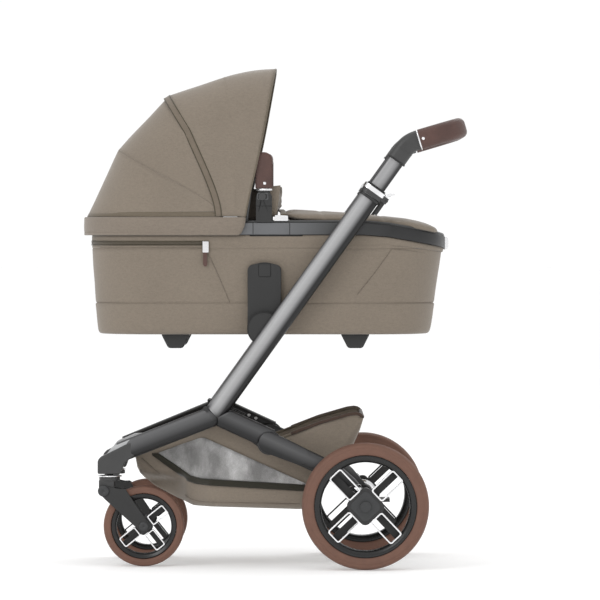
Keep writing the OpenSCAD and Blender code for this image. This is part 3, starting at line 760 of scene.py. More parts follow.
def tub_side(x, z, out=0.0):
    """How far out the tub's side is at a place."""
    t = (z - COT_LOW.z) / (0.790 - COT_LOW.z)
    x0, x1 = mix(-0.406, -0.424, t) - out, mix(0.358, 0.396, t) + out
    hw, r = mix(0.192, 0.204, t) + out, mix(0.110, 0.130, t)
    past = max(0.0, x0 + r - x, x - (x1 - r))
    return hw - r + math.sqrt(max(0.0, r * r - past * past))


def rim_line(x):
    """Top of the rim along the pram: level, then dropping to the foot end."""
    return along_line([(-0.43, 0.790), (0.205, 0.790), (0.262, 0.785), (0.325, 0.774), (0.378, 0.764),
                       (0.41, 0.754)], x)


def soft_ripple(p, size, depth):
    return depth * noise.noise(Vector(p) / size)


def make_tub():
    """The tub's cloth: walls, a rounded foot edge, a skirt seam and a gently uneven surface."""
    profile = [(TUB_FOOT, -0.090), (TUB_FOOT, -0.016), (TUB_FOOT + 0.0008, -0.006), (TUB_FOOT + 0.0026, -0.0018),
               (TUB_FOOT + 0.006, 0.0003), (TUB_FOOT + 0.012, 0.0014), (TUB_FOOT + 0.022, 0.0020)]
    profile += [(z, 0.0022) for z in (0.570, 0.585, 0.597, 0.6025)]
    profile += [(0.6045, 0.0012), (SKIRT_Z, -0.0012), (0.6078, 0.0006)]
    profile += [(z, 0.0012) for z in (0.611, 0.62, 0.635, 0.65, 0.665, 0.68, 0.695, 0.71, 0.722)]
    profile += [(0.7295, 0.0014), (0.7310, 0.0), (0.7325, 0.0014), (0.7365, 0.0016), (0.742, 0.0), (0.7475, 0.0016),
                (0.752, 0.0012), (0.757, 0.0008), (0.762, 0.0)]
    rings = []
    for z, out in profile:
        ring = []
        for p in tub_ring(max(z, COT_LOW.z), out):
            p.z = z if z < 0.74 else z - max(0.0, 0.790 - rim_line(p.x)) * (z - 0.70) / 0.062
            if z > 0.722 and p.x > 0.2:
                p.z = min(p.z, rim_line(p.x) - 0.0275)
            away = Vector((p.x * 0.5, p.y, 0)).normalized()
            ring.append(p + away * soft_ripple((p.x, p.y, z * 1.3), 0.085, 0.0016))
        rings.append(ring)
    middle = Vector((-0.025, 0, TUB_FOOT))
    tub = loft("tub_cloth", rings, M["cloth"])
    base = loft("tub_base", [rings[0], [middle + (p - middle) * 0.5 for p in rings[0]],
                             [middle + (p - middle) * 0.02 for p in rings[0]]], M["cloth"])
    tub = join("tub_cloth", [tub, base])
    tub.modifiers.new("weld", "WELD").merge_threshold = 1e-5
    thicken(tub, 3 * MM, -1.0)
    finish_piece(tub, "carrycot", "melange_cloth", "cot_shell")
    inner = [(0.764, -0.010), (0.72, -0.0115), (0.68, -0.013), (0.64, -0.0135), (0.60, -0.014), (0.575, -0.015)]
    rings = []
    for z, out in inner:
        ring = []
        for p in tub_ring(z, out):
            p.z = z if z < 0.7 else z - max(0.0, 0.790 - rim_line(p.x)) * (z - 0.66) / 0.104
            away = Vector((p.x * 0.5, p.y, 0)).normalized()
            ring.append(p + away * soft_ripple((p.x, p.y, z), 0.06, 0.003))
        rings.append(ring)
    # the lining's dark colour is painted shade of the cot's inside
    lining = thicken(loft("tub_lining", rings, M["lining"]), 2 * MM, -1.0)
    finish_piece(lining, "carrycot", "melange_cloth")


def on_tub(x, z, side, out=0.0):
    return Vector((x, side * (tub_side(x, z) + out), z))


def tub_seams():
    """Piped seams, the vent zip with its tape, and the slider's leather pull."""
    parts = []
    diagonal = [(-0.405, 0.7335), (-0.30, 0.7335), (-0.19, 0.7335), (-0.166, 0.7325), (-0.156, 0.727),
                (-0.148, 0.715), (-0.125, 0.665), (-0.101, 0.6075)]
    foot_end = [[(0.270, 0.7305), (0.263, 0.72), (0.232, 0.677), (0.191, 0.626)],
                [(0.270, 0.7305), (0.300, 0.7285), (0.340, 0.722), (0.372, 0.713)]]
    for side in SIDES:
        for line in [diagonal, *foot_end]:
            route = sample([on_tub(x, z, side, 0.0016) for x, z in line], 60)
            route = [on_tub(p.x, p.z, side, 0.0016) for p in route]
            radius = 1.0 * MM if line is diagonal else 0.6 * MM
            parts.append(sweep("seam", route, circle(radius, 6), M["seam"], up=Vector((0, side, 0.01))))
    seams = join("tub_piping", parts)
    finish_piece(seams, "carrycot", "melange_cloth")
    tape = []
    for z in (0.7465, 0.7405):
        ring = [p for p in tub_ring(z, 0.0014) if p.x < -0.152]
        tape.append([on_tub(-0.150, z, -1, 0.0014), *ring, on_tub(-0.150, z, 1, 0.0014)])
    zip_tape = thicken(loft("vent_zip_tape", tape, M["groove"], closed=False), 1.2 * MM)
    finish_piece(zip_tape, "carrycot", "melange_cloth")
    teeth = []
    for z in (0.7478, 0.7392):
        line = [Vector((p.x, p.y, z)) for p in sample(tape[0], 140)]
        line = [p + (p - Vector((max(p.x, -0.29), 0, z))).normalized() * 0.001 for p in line]
        teeth.append(sweep("coil", line, circle(0.9 * MM, 6), M["zip"], up=Vector((0, 0, 1))))
    finish_piece(join("vent_zip_coils", teeth), "carrycot", "black_plastic")
    low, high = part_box("zip_slider")
    x, y = (low.x + high.x) / 2, low.y
    outline = rounded([(x - 0.0058, low.z + 0.002), (x + 0.0030, low.z + 0.002), (x + 0.0040, 0.694),
                       (x + 0.001, 0.690), (x - 0.0035, 0.6905), (x - 0.0058, 0.695)], 0.003)
    pull = soften(slab("zip_pull", outline, y + 0.0006, y + 0.0026, M["leather"]), 0.5 * MM)
    finish_piece(pull, "zip_slider", "brown_leather")


# ---------------------------------------------------------------- rim details

def rim_details():
    """Joint lines, the shadow strip under the rim, the ledge above it and the foot-end bead."""
    parts = []
    for side in SIDES:
        for x in (-0.0475, 0.0365):
            y = side * (tub_side(x, 0.78) + 0.0022)
            outline = [(x - 0.0007, 0.7635), (x + 0.0007, 0.7635), (x + 0.0007, 0.7895), (x - 0.0007, 0.7895)]
            parts.append(slab("line", outline, y, y + side * 0.0006, M["shade"]))
        y = side * (tub_side(0, 0.762) + 0.0012)
        outline = rounded([(-0.055, 0.7595), (0.066, 0.7595), (0.066, 0.7635), (-0.055, 0.7635)], 0.002)
        parts.append(slab("strip", outline, y - side * 0.002, y, M["shade"]))
    finish_piece(join("rim_lines", parts), "carrycot", "black_plastic")
    ledge = []
    for z, out in ((0.7896, -0.0015), (0.7935, -0.0022), (0.7962, -0.0042), (0.7962, -0.011), (0.7896, -0.012)):
        ledge.append([Vector((p.x, p.y, z - 0.790 + rim_line(p.x))) for p in tub_ring(0.79, out)])
    piece = loft("rim_ledge", ledge, M["dark"], wrap=True)
    finish_piece(piece, "carrycot", "dark_plastic")
    foot_cap = slab("rim_foot_cap", rounded([(0.3945, 0.7280), (0.4010, 0.7290), (0.4035, 0.7360), (0.4035, 0.7520),
                                             (0.4005, 0.7575), (0.3945, 0.7575)], 0.002), -0.085, 0.085, M["silver"])
    finish_piece(soften(foot_cap, 0.8 * MM), "carrycot", "silver_trim")
    clips = []
    for side in SIDES:
        y = side * (RIM_HIGH.y - 0.0036)
        outline = rounded([(0.0005, 0.7945), (0.033, 0.7945), (0.0325, 0.8065), (0.003, 0.8080)], 0.002)
        clips.append(slab("clip", outline, y, y + side * 0.0035, M["silver"]))
    finish_piece(soften(join("handle_clips", clips), 0.6 * MM), "carrycot", "silver_trim")


# ---------------------------------------------------------------- padded pieces

def inflate(obj, voxel, most):
    """Blows a padded piece up a little as cloth, then keeps the result as its mesh."""
    remesh = obj.modifiers.new("voxels", "REMESH")
    remesh.mode = "VOXEL"
    remesh.voxel_size = voxel
    bake(obj)
    scene = bpy.context.scene
    start = np.array([v.co for v in obj.data.vertices])
    cloth = obj.modifiers.new("cloth", "CLOTH")
    cloth.settings.use_pressure = True
    cloth.settings.uniform_pressure_force = 4.0
    cloth.settings.effector_weights.gravity = 0.0
    cloth.settings.tension_stiffness = 20
    cloth.settings.compression_stiffness = 12
    cloth.point_cache.frame_start = 1
    cloth.point_cache.frame_end = 20
    for f in range(1, 21):
        scene.frame_set(f)
    graph = bpy.context.evaluated_depsgraph_get()
    moved = np.array([v.co for v in obj.evaluated_get(graph).data.vertices])
    obj.modifiers.clear()
    scene.frame_set(1)
    shift = moved - start
    length = np.linalg.norm(shift, axis=1, keepdims=True)
    shift *= np.minimum(1.0, most / np.maximum(length, 1e-9))
    obj.data.vertices.foreach_set("co", (start + shift).astype(np.float32).ravel())
    obj.data.shade_smooth()
    return subdivide(obj)


def pillow(name, x0, x1, hw, corner, top, bottom, material, rows=(0.35, 0.7, 0.9, 1.0), shape=None):
    """A closed pad: rings shrink in from the widest line to the middle of the top and bottom."""
    rings = []
    cx = (x0 + x1) / 2
    outline = plan_outline(x0, x1, hw, corner, 6, 5)
    steps = [0.02, *rows]
    for k, z in [(s, bottom) for s in steps] + [(1.015, (top + bottom) / 2)] + [(s, top) for s in steps[::-1]]:
        ring = []
        for p in outline:
            q = Vector((cx + (p.x - cx) * k, p.y * k, z))
            ring.append(shape(q, k, z == top) if shape else q)
        rings.append(ring)
    obj = loft(name, rings, material, caps=True)
    return obj


def make_mattress():
    low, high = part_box("mattress")
    pad = pillow("mattress_pad", low.x + 0.006, high.x - 0.006, high.y - 0.006, 0.09, high.z - 0.005,
                 low.z + 0.004, M["sheet"])
    inflate(pad, 0.006, 0.006)
    finish_piece(pad, "carrycot", "mattress_cover", "mattress")
    ring = [Vector((p.x, p.y, (low.z + high.z) / 2)) for p in
            plan_outline(low.x + 0.003, high.x - 0.003, high.y - 0.003, 0.09, 10, 8)]
    piping = sweep("mattress_piping", ring, circle(2.2 * MM, 8), M["sheet"], up=Vector((0, 0, 1)), wrap=True)
    finish_piece(piping, "carrycot", "mattress_cover")


APRON_LINE = [(0.0, 0.815), (0.06, 0.812), (0.16, 0.806), (0.218, 0.801), (0.304, 0.792), (0.347, 0.783),
              (0.372, 0.772), (0.39, 0.766)]


def apron_height(x, y):
    """Crowned top of the apron: highest in the middle, falling to the rim at the sides."""
    half = 0.196
    crown = 1 - min(1.0, abs(y) / half) ** 3.2
    edge = rim_line(x) + 0.006
    return edge + (along_line(APRON_LINE, x) + 0.003 - edge) * (0.55 + 0.45 * crown) * (1 - 0.25 * (1 - crown))


def make_apron():
    """The padded foot cover: a crowned closed pad with two quilted channels and a bound front edge."""
    low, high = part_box("apron")

    def shape(q, k, top):
        base = apron_height(q.x, q.y)
        lift = 0.0 if top else -0.012
        if not top and k > 1:
            lift = -0.006
        return Vector((q.x, q.y, base + lift))

    pad = pillow("apron_pad", low.x + 0.004, high.x - 0.006, high.y - 0.004, 0.06, 1.0, 0.0, M["cloth"],
                 rows=(0.15, 0.3, 0.45, 0.6, 0.75, 0.87, 0.95, 1.0), shape=shape)
    inflate(pad, 0.005, 0.006)
    graph_mesh = pad.data
    for v in graph_mesh.vertices:
        for x in (0.105, 0.245):
            d = abs(v.co.x - x - 0.25 * v.co.y ** 2)
            if v.co.z > apron_height(v.co.x, v.co.y) - 0.006 and d < 0.008:
                v.co.z -= 0.0028 * (1 - d / 0.008) ** 2
    finish_piece(pad, "carrycot", "melange_cloth", "apron")
    route = []
    for i in range(41):
        y = mix(-0.190, 0.190, i / 40)
        x = low.x + 0.004 + 0.004 * math.cos(i / 40 * 2 * math.pi)
        route.append(Vector((x, y, apron_height(low.x, y) + 0.002)))
    edge = sweep("apron_edge", route, rounded_box_outline(0.005, 0.014, 0.002), M["hem"], up=Vector((1, 0, 0)))
    finish_piece(edge, "carrycot", "melange_cloth")
    front_x = low.x - 0.009
    plan = [Vector((x, -0.1865, 0)) for x in np.linspace(-0.036, front_x, 8)]
    plan += [Vector((front_x, y, 0)) for y in np.linspace(-0.182, 0.182, 41)]
    plan += [Vector((p.x, -p.y, 0)) for p in plan[7::-1]]
    rings = []
    for i, p in enumerate(plan):
        across = min(1.0, abs(p.y) / 0.1865)
        lift = 0.830 + 0.046 * across ** 2.2 - 0.10 * max(0.0, front_x - p.x) * (p.x < front_x)
        foot = apron_height(low.x + 0.004, p.y) - 0.001
        ring = []
        for k in range(9):
            t = k / 8
            lean = 0.010 * t * smoothstep((p.x + 0.036) / 0.03) + 0.0015 * math.sin(48 * p.y) * t
            ring.append(Vector((p.x + lean, p.y, mix(foot, lift, t))))
        rings.append(ring)
    flap = thicken(loft("wind_flap", rings, M["cloth"], closed=False), 3 * MM)
    finish_piece(flap, "carrycot", "melange_cloth")
    # painted shade: dark lining sheets standing inside the cot just behind the hood's front edge, for the shade of
    # its inside
    for side in SIDES:
        rings = [[Vector((x, side * 0.1845, z)) for z in np.linspace(0.795, 0.868, 8)]
                 for x in np.linspace(-0.074, -0.034, 6)]
        shade_sheet = thicken(loft(f"side_shade_sheet_{SIDE_NAME[side]}", rings, M["lining"], closed=False), 2 * MM)
        finish_piece(shade_sheet, "carrycot", "melange_cloth")


# ---------------------------------------------------------------- canopy

HINGE = PIVOT["canopy_front_fold"]
HOOD_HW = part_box("canopy_front")[1].y
HEM_Z = 0.8055


def arch(angle, radius, half, corner, path):
    """A hoop in the plane at an angle about the hinge. path gives its side stretch, from the
    hem up to where the corner starts; the corner and the top are an arc and a crowned line."""
    a = math.radians(angle)
    out = Vector((math.cos(a), 0, math.sin(a)))
    left = []
    for k in range(19):
        x, z = path(k / 18)
        left.append(Vector((x, -half, z)))
    for k in range(1, 11):
        b = math.radians(90 * k / 10)
        r = radius - corner + corner * math.sin(b)
        left.append(HINGE + out * r + Vector((0, -(half - corner) - corner * math.cos(b), 0)))
    for k in range(1, 9):
        t = k / 8
        y = mix(-(half - corner), 0, t)
        left.append(HINGE + out * (radius + 0.004 * math.sin(t * math.pi / 2)) + Vector((0, y, 0)))
    return left + [Vector((p.x, -p.y, p.z)) for p in left[-2::-1]]


def bezier_to(start, bend_a, bend_b, angle, reach):
    """Side stretch of a seam: a cubic from the hem to the point where the corner starts."""
    a = math.radians(angle)
    end = (HINGE.x + reach * math.cos(a), HINGE.z + reach * math.sin(a))

    def path(t):
        u = 1 - t
        w = (u ** 3, 3 * t * u * u, 3 * t * t * u, t ** 3)
        return tuple(sum(k * p[i] for k, p in zip(w, (start, bend_a, bend_b, end))) for i in (0, 1))
    return path


def straight_to(start, angle, reach):
    a = math.radians(angle)
    end = (HINGE.x + reach * math.cos(a), HINGE.z + reach * math.sin(a))
    return lambda t: (mix(start[0], end[0], t), mix(start[1], end[1], t))


def hood_arches():
    """The lines that the cloth is cut and sewn to, from the rear hem to the front edge."""
    corner = 0.095
    hw = HOOD_HW
    zip_path = ((-0.1216, HEM_Z), (-0.121, 0.850), (-0.160, 0.925))
    lines = {
        "rear": arch(150.4, 0.3405, hw - 0.002, corner, bezier_to((-0.1225, HEM_Z), (-0.128, 0.835),
                                                                 (-0.172, 0.855), 150.4, 0.3405 - corner)),
        "zip_low": arch(122.8, 0.3415, hw - 0.001, corner, bezier_to(*zip_path, 122.8, 0.3415 - corner)),
        "zip": arch(121.6, 0.3445, hw, corner, bezier_to(*zip_path, 121.6, 0.3445 - corner)),
        "kink": arch(98.8, 0.3402, hw, corner, straight_to((-0.090, HEM_Z), 98.8, 0.3402 - corner)),
        "front": arch(79.6, 0.361, hw, corner, bezier_to((-0.0655, HEM_Z - 0.002), (-0.056, 0.86),
                                                        (-0.033, 0.94), 79.6, 0.361 - corner)),
    }
    count = len(lines["rear"])
    half = count // 2
    hem = []
    for i in range(half + 1):
        if i <= 18:
            hem.append(Vector((mix(-0.1225, -0.290, i / 18), -(hw - 0.002), HEM_Z)))
        elif i <= 28:
            a = math.radians(90 * (i - 18) / 10)
            hem.append(Vector((-0.285 - 0.146 * math.sin(a), -(hw - 0.148) - 0.146 * math.cos(a), HEM_Z)))
        else:
            hem.append(Vector((-0.431 - 0.002 * math.sin((i - 28) / 8 * math.pi / 2),
                               mix(-(hw - 0.148), 0, (i - 28) / 8), HEM_Z)))
    lines["hem"] = hem + [Vector((p.x, -p.y, p.z)) for p in hem[-2::-1]]
    return lines


def hood_rows(a, b, rows, bulge, sag):
    """Cloth stretched from one sewn line to the next: nearly straight, full in the middle of the
    top and pulled in a little along the corners."""
    grid = []
    count = len(a)
    for i in range(rows + 1):
        t = i / rows
        swell = math.sin(math.pi * t)
        row = []
        for j, (p, q) in enumerate(zip(a, b)):
            point = p.lerp(q, t)
            s = abs(2 * j / (count - 1) - 1)
            out = (point - Vector((HINGE.x, point.y, HINGE.z)))
            out = out.normalized() if out.length > 1e-6 else Vector((0, 0, 1))
            sideways = Vector((0, 1 if point.y > 0 else -1, 0))
            top = smoothstep(1 - s * 1.9)
            wall = smoothstep((s - 0.5) * 3)
            point = point + out * (swell * (bulge * top - sag * (1 - top) * (1 - wall)))
            point = point + sideways * (swell * -0.0012 * wall)
            ripple = soft_ripple((point.x, point.y * 0.7, point.z), 0.07, 0.0011) * min(1.0, swell * 2)
            row.append(point + (out * top + sideways * wall) * ripple)
        grid.append(row)
    return grid


def make_hood():
    """One hood in three stretches of cloth, each sewn between two lines."""
    lines = hood_arches()
    stretches = (
        ("hood_rear", "hem", "rear", 14, 0.0005, 0.002, "carrycot", "canopy_rear", 174, 150.4, 0.15, 0.80),
        ("hood_middle", "rear", "zip_low", 14, 0.001, 0.002, "canopy_rear", "canopy_middle", 150.4, 122.5,
         0.165, 0.85),
        ("hood_front", "zip", "front", 22, 0.0055, 0.002, "canopy_middle", "canopy_front", 121.5, 81, 0.25, 0.95),
    )
    for name, start, end, rows, bulge, sag, body_a, body_b, a0, a1, long, wide in stretches:
        if name == "hood_front":
            grid = hood_rows(lines[start], lines["kink"], rows // 2, 0.0, sag)
            grid = grid[:-1] + hood_rows(lines["kink"], lines[end], rows // 2, bulge, sag)
        else:
            grid = hood_rows(lines[start], lines[end], rows, bulge, sag)
        obj = thicken(loft(name, grid, M["cloth"], closed=False), 2.4 * MM, 0.0)
        reach = 0.25
        ends = [HINGE + Vector((math.cos(math.radians(a)), 0, math.sin(math.radians(a)))) * reach
                for a in (a0, a1)]
        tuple(ends[0])
        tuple(ends[1])
        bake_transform(obj)
        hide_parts({"hood_rear": "canopy_rear", "hood_middle": "canopy_middle",
                          "hood_front": "canopy_front"}[name])
    return lines


def arch_outward(line, out):
    """The points of an arch moved out from the cloth: sideways on the walls, upwards on the top."""
    moved = []
    for i, p in enumerate(line):
        normal = (p - Vector((HINGE.x, p.y, HINGE.z))).normalized()
        s = abs(2 * i / (len(line) - 1) - 1)
        wall = Vector((0, 1 if p.y > 0 else -1, 0))
        moved.append(p + normal.lerp(wall, smoothstep((s - 0.42) * 5)).normalized() * out)
    return moved


def ribbon(name, line, width_vectors, material, thickness):
    rings = [[p + w * k for k in (-0.5, -0.2, 0.2, 0.5)] for p, w in zip(line, width_vectors)]
    return thicken(loft(name, rings, material, closed=False), thickness)


def hood_trim(lines):
    """The bows, the zip tape over the hood, the rear seam, the front binding and a seam along the kink."""
    for name, key in (("rear", "rear"), ("middle", "zip_low"), ("front", "front")):
        route = arch_outward(lines[key], -0.0085)[18:-18]
        if key == "front":
            route = [p + Vector((-0.016, 0, -0.005)) for p in route]
        ends = [Vector((HINGE.x, route[i].y, HINGE.z + 0.008)) for i in (0, -1)]
        legs = [[end.lerp(top, k / 8) for k in range(8)] for end, top in zip(ends, (route[0], route[-1]))]
        hoop = sweep(f"hood_bow_{name}", [*legs[0], *route, *legs[1][::-1]], circle(3.2 * MM, 10), M["wire"])
        finish_piece(hoop, f"canopy_{name}", "bow_wire", f"bow_{name}")
    zip_line, widths = [], []
    for i, p in enumerate(lines["zip"]):
        count = len(lines["zip"]) - 1
        along = (lines["zip"][min(i + 1, count)] - lines["zip"][max(i - 1, 0)]).normalized()
        radial = (p - Vector((HINGE.x, p.y, HINGE.z))).normalized()
        s = abs(2 * i / count - 1)
        normal = radial.lerp(Vector((0, 1 if p.y > 0 else -1, 0)), smoothstep((s - 0.42) * 5)).normalized()
        across = along.cross(normal).normalized()
        if across.dot(Vector((-radial.z, 0, radial.x))) < 0:
            across = -across
        widths.append(across * 0.0150)
        zip_line.append(p + normal * 0.0009 + across * 0.0050)
    tape = ribbon("hood_zip_tape", zip_line, widths, M["seam"], 1.4 * MM)
    finish_piece(tape, "canopy_middle", "melange_cloth")
    coils = [sweep("coil", [p + w * k for p, w in zip(zip_line, widths)], circle(1.35 * MM, 6), M["zip"])
             for k in (-0.46, 0.46)]
    finish_piece(join("hood_zip_coils", coils), "canopy_middle", "black_plastic")
    seam = sweep("hood_rear_seam", arch_outward(lines["rear"], 0.0005), circle(0.8 * MM, 6), M["seam"])
    finish_piece(seam, "canopy_rear", "melange_cloth")
    front = lines["front"]
    binding = sweep("hood_front_binding", front, rounded_box_outline(0.0040, 0.0040, 0.0015), M["hem"])
    finish_piece(binding, "canopy_front", "melange_cloth")
    kink = arch_outward(lines["kink"], 0.0006)
    inner = sweep("hood_kink_seam", kink[18:-18], circle(1.2 * MM, 6), M["cloth"])
    finish_piece(inner, "canopy_front", "melange_cloth")


BAND_TOP = 0.8035
BAND_FOOT = 0.7615


def band_line(z, out, start):
    """Line of the band round the head end, from the left front end to the right one."""
    half, r, back = HOOD_HW + out, 0.150, -0.4385 - out
    line = [Vector((mix(start, back + r, k / 24), -half, z)) for k in range(25)]
    for k in range(1, 17):
        a = math.radians(90 * k / 16)
        line.append(Vector((back + r - r * math.sin(a), -(half - r) - r * math.cos(a), z)))
    for k in range(1, 9):
        line.append(Vector((back, mix(-(half - r), 0, k / 8), z)))
    return line + [Vector((p.x, -p.y, p.z)) for p in line[-2::-1]]


def make_band(hem_line):
    """The band under the hood: turned edges, a slanting rounded front end, and the darker hem above."""
    profile = [(BAND_FOOT + 0.0010, -0.0012), (BAND_FOOT, 0.0), (BAND_FOOT + 0.0012, 0.0016),
               (BAND_FOOT + 0.006, 0.0018), (BAND_FOOT + 0.0075, 0.0010), (BAND_FOOT + 0.009, 0.0018),
               (0.782, 0.0022), (0.796, 0.0018), (BAND_TOP - 0.0015, 0.0014), (BAND_TOP, 0.0)]
    rings = []
    for z, out in profile:
        t = (z - BAND_FOOT) / (BAND_TOP - BAND_FOOT)
        start = mix(-0.0745, -0.0645, smoothstep(t * 1.4) if t < 0.7 else 1.0)
        if t < 0.12:
            start -= 0.006 * (1 - t / 0.12)
        ring = []
        for p in band_line(z, out, start):
            away = Vector((0.4 * (p.x + 0.2), p.y, 0)).normalized()
            ring.append(p + away * soft_ripple((p.x, p.y, 0.2), 0.09, 0.0012))
        rings.append(ring)
    band = thicken(loft("canopy_band_cloth", rings, M["band"], closed=False), 2.4 * MM, -1.0)
    finish_piece(band, "carrycot", "melange_cloth", "canopy_band")
    rings = []
    for z, out in ((BAND_TOP - 0.001, 0.0004), (BAND_TOP + 0.0015, 0.0022), (0.8105, 0.0022),
                   (0.8145, 0.0018), (0.8160, 0.0004)):
        ring = []
        for p in hem_line:
            away = Vector((min(0.0, p.x + 0.285), p.y, 0)).normalized()
            lean = 0.5 * (z - HEM_Z) * smoothstep((-0.285 - p.x) / 0.1)
            ring.append(Vector((p.x + lean, p.y, z)) + away * out)
        rings.append(ring)
    hem = thicken(loft("hood_hem", rings, M["hem"], closed=False), 2 * MM, -1.0)
    finish_piece(hem, "carrycot", "melange_cloth")


# ---------------------------------------------------------------- carry handle and posts

def carry_handle():
    """Leather tabs on both sides, stitched round their edge, and the leather bar that joins them."""
    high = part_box("carry_grip")[1]
    hinge = PIVOT["carry_handle_fold"]
    parts, threads = [], []
    w = 0.0197
    top_z = high.z - w
    outline = [(hinge.x - w, 0.8685), (hinge.x + w, 0.8685)]
    outline += [(hinge.x + w * math.cos(math.radians(a)), top_z + w * math.sin(math.radians(a)))
                for a in range(0, 181, 12)]
    inner = [(hinge.x + (x - hinge.x) * 0.84, mix(z, 0.905, 0.07)) for x, z in outline]
    for side in SIDES:
        tab = slab("tab", outline, side * 0.1965, side * 0.2066, M["leather"])
        parts.append(tab)
        face = side * 0.2068
        loop = [Vector((x, face, z)) for x, z in inner]
        loop = sample(loop + [loop[0]], 90)
        threads.append(stitches("thread", loop, [Vector((0, side, 0))] * 90, M["thread"]))
        parts[-1].name = "tab_side"
    tabs = soften(join("carry_tabs", parts), 2.4 * MM, segments=3)
    finish_piece(tabs, "carry_handle", "brown_leather", "carry_grip")
    finish_piece(join("carry_stitching", threads), "carry_handle", "brown_leather")
    middle = Vector((hinge.x + 0.007, 0, high.z - 0.0150))
    rings = []
    for i in range(33):
        y = mix(-0.1985, 0.1985, i / 32)
        fat = 1 + 0.10 * math.cos(y / 0.1985 * math.pi / 2) - 0.06 * (abs(y) > 0.19)
        rings.append([middle + Vector((a * fat, y, b * fat)) for a, b in rounded_box_outline(0.0235, 0.0225, 0.0085)])
    bar = loft("carry_bar", rings, M["leather"], caps=True)
    finish_piece(bar, "carry_handle", "brown_leather")
    seam = [middle + Vector((0.0, mix(-0.19, 0.19, i / 120), -0.0118)) for i in range(121)]
    finish_piece(stitches("carry_bar_stitching", seam, [Vector((0, 0, -1))] * 121, M["thread"]),
                 "carry_handle", "brown_leather")
    metal_parts = []
    for side in SIDES:
        ring = rounded([(hinge.x - 0.0188, 0.8636), (hinge.x + 0.0188, 0.8636), (hinge.x + 0.0188, 0.8683),
                        (hinge.x - 0.0188, 0.8683)], 0.0015)
        metal_parts.append(slab("ring", ring, side * 0.1972, side * 0.2070, M["silver"]))
        rivet = Vector((hinge.x + 0.0017, side * 0.2066, 0.8805))
        profile = [(0.0002, 0.0), (0.0040, 0.0), (0.0040, side * 0.0008), (0.0028, side * 0.0018),
                   (0.0002, side * 0.0021)]
        metal_parts.append(lathe("rivet", rivet, profile, M["silver"], 24))
    finish_piece(join("carry_rings", metal_parts), "carry_handle", "silver_trim")


def post_details():
    """Raised outlines and a moulding seam on the fixed posts."""
    low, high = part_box("carry_posts")
    parts = []
    for side in SIDES:
        y = side * (high.y - 0.0002)
        for z in (0.8285, ):
            outline = [(low.x + 0.001, z - 0.0006), (high.x - 0.001, z - 0.0006), (high.x - 0.001, z + 0.0006),
                       (low.x + 0.001, z + 0.0006)]
            parts.append(slab("line", outline, y, y + side * 0.0006, M["shade"]))
        outer = rounded([(low.x + 0.0035, 0.8435), (high.x - 0.009, 0.8435), (high.x - 0.009, 0.8575),
                         (low.x + 0.0035, 0.8575)], 0.002)
        inner = rounded([(low.x + 0.0045, 0.8445), (high.x - 0.010, 0.8445), (high.x - 0.010, 0.8565),
                         (low.x + 0.0045, 0.8565)], 0.002)
        parts.append(slab("outline", outer, y, y + side * 0.0006, M["satin"], hole=inner))
    finish_piece(join("post_lines", parts), "carrycot", "dark_plastic")


# ---------------------------------------------------------------- adapters and seat hub

def make_adapters():
    """Adapter cheeks with a crowned top, round corners and a window for the release tab."""
    for side in SIDES:
        name = SIDE_NAME[side]
        low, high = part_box(f"adapter_{name}")
        outline = rounded([(low.x, low.z + 0.002), (high.x, low.z + 0.002), (high.x, high.z - 0.006),
                           ((low.x + high.x) / 2, high.z + 0.003), (low.x, high.z - 0.006)], 0.012, 6)
        inner, outer = (low.y, high.y) if side > 0 else (high.y, low.y)
        body = slab(f"adapter_cover_{name}", outline, inner, outer, M["black"])
        soften(body, 1.6 * MM, segments=3)
        finish_piece(body, "adapters", "black_plastic", f"adapter_{name}")
        b_low, b_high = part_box(f"adapter_button_{name}")
        x, z = (b_low.x + b_high.x) / 2, 0.6815
        tab = rounded_box_outline(0.0265, 0.0285, 0.003)
        window = rounded_box_outline(0.0290, 0.0310, 0.004)
        y = outer
        frame_ring = slab(f"adapter_window_{name}", [(x + a, z + b) for a, b in window], y, y + side * 0.0006,
                          M["shade"], hole=[(x + a * 0.93, z + b * 0.93) for a, b in window])
        finish_piece(frame_ring, "adapters", "black_plastic")
        button = slab(f"adapter_tab_{name}", [(x + a, z + b) for a, b in tab], y - side * 0.001, y + side * 0.0011,
                      M["black"])
        soften(button, 0.7 * MM)
        finish_piece(button, f"adapter_button_{name}", "dark_plastic", f"adapter_button_{name}")


def hub_rings():
    """The thin ring round the seat hub, which crosses the push tube as a fine line."""
    parts = []
    for side in SIDES:
        low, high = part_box(f"seat_hub_{SIDE_NAME[side]}")
        centre = Vector(((low.x + high.x) / 2, 0, (low.z + high.z) / 2))
        radius = (high.x - low.x) / 2
        y = side * (abs(low.y if side < 0 else high.y))
        profile = [(radius - 0.0015, y - side * 0.004), (radius + 0.0008, y - side * 0.004),
                   (radius + 0.0008, y + side * 0.0008), (radius - 0.0015, y + side * 0.0008)]
        parts.append(lathe("ring", centre, profile, M["shade"], 72))
    finish_piece(join("hub_rings", parts), "push_frame", "black_plastic")


# ---------------------------------------------------------------- handle details

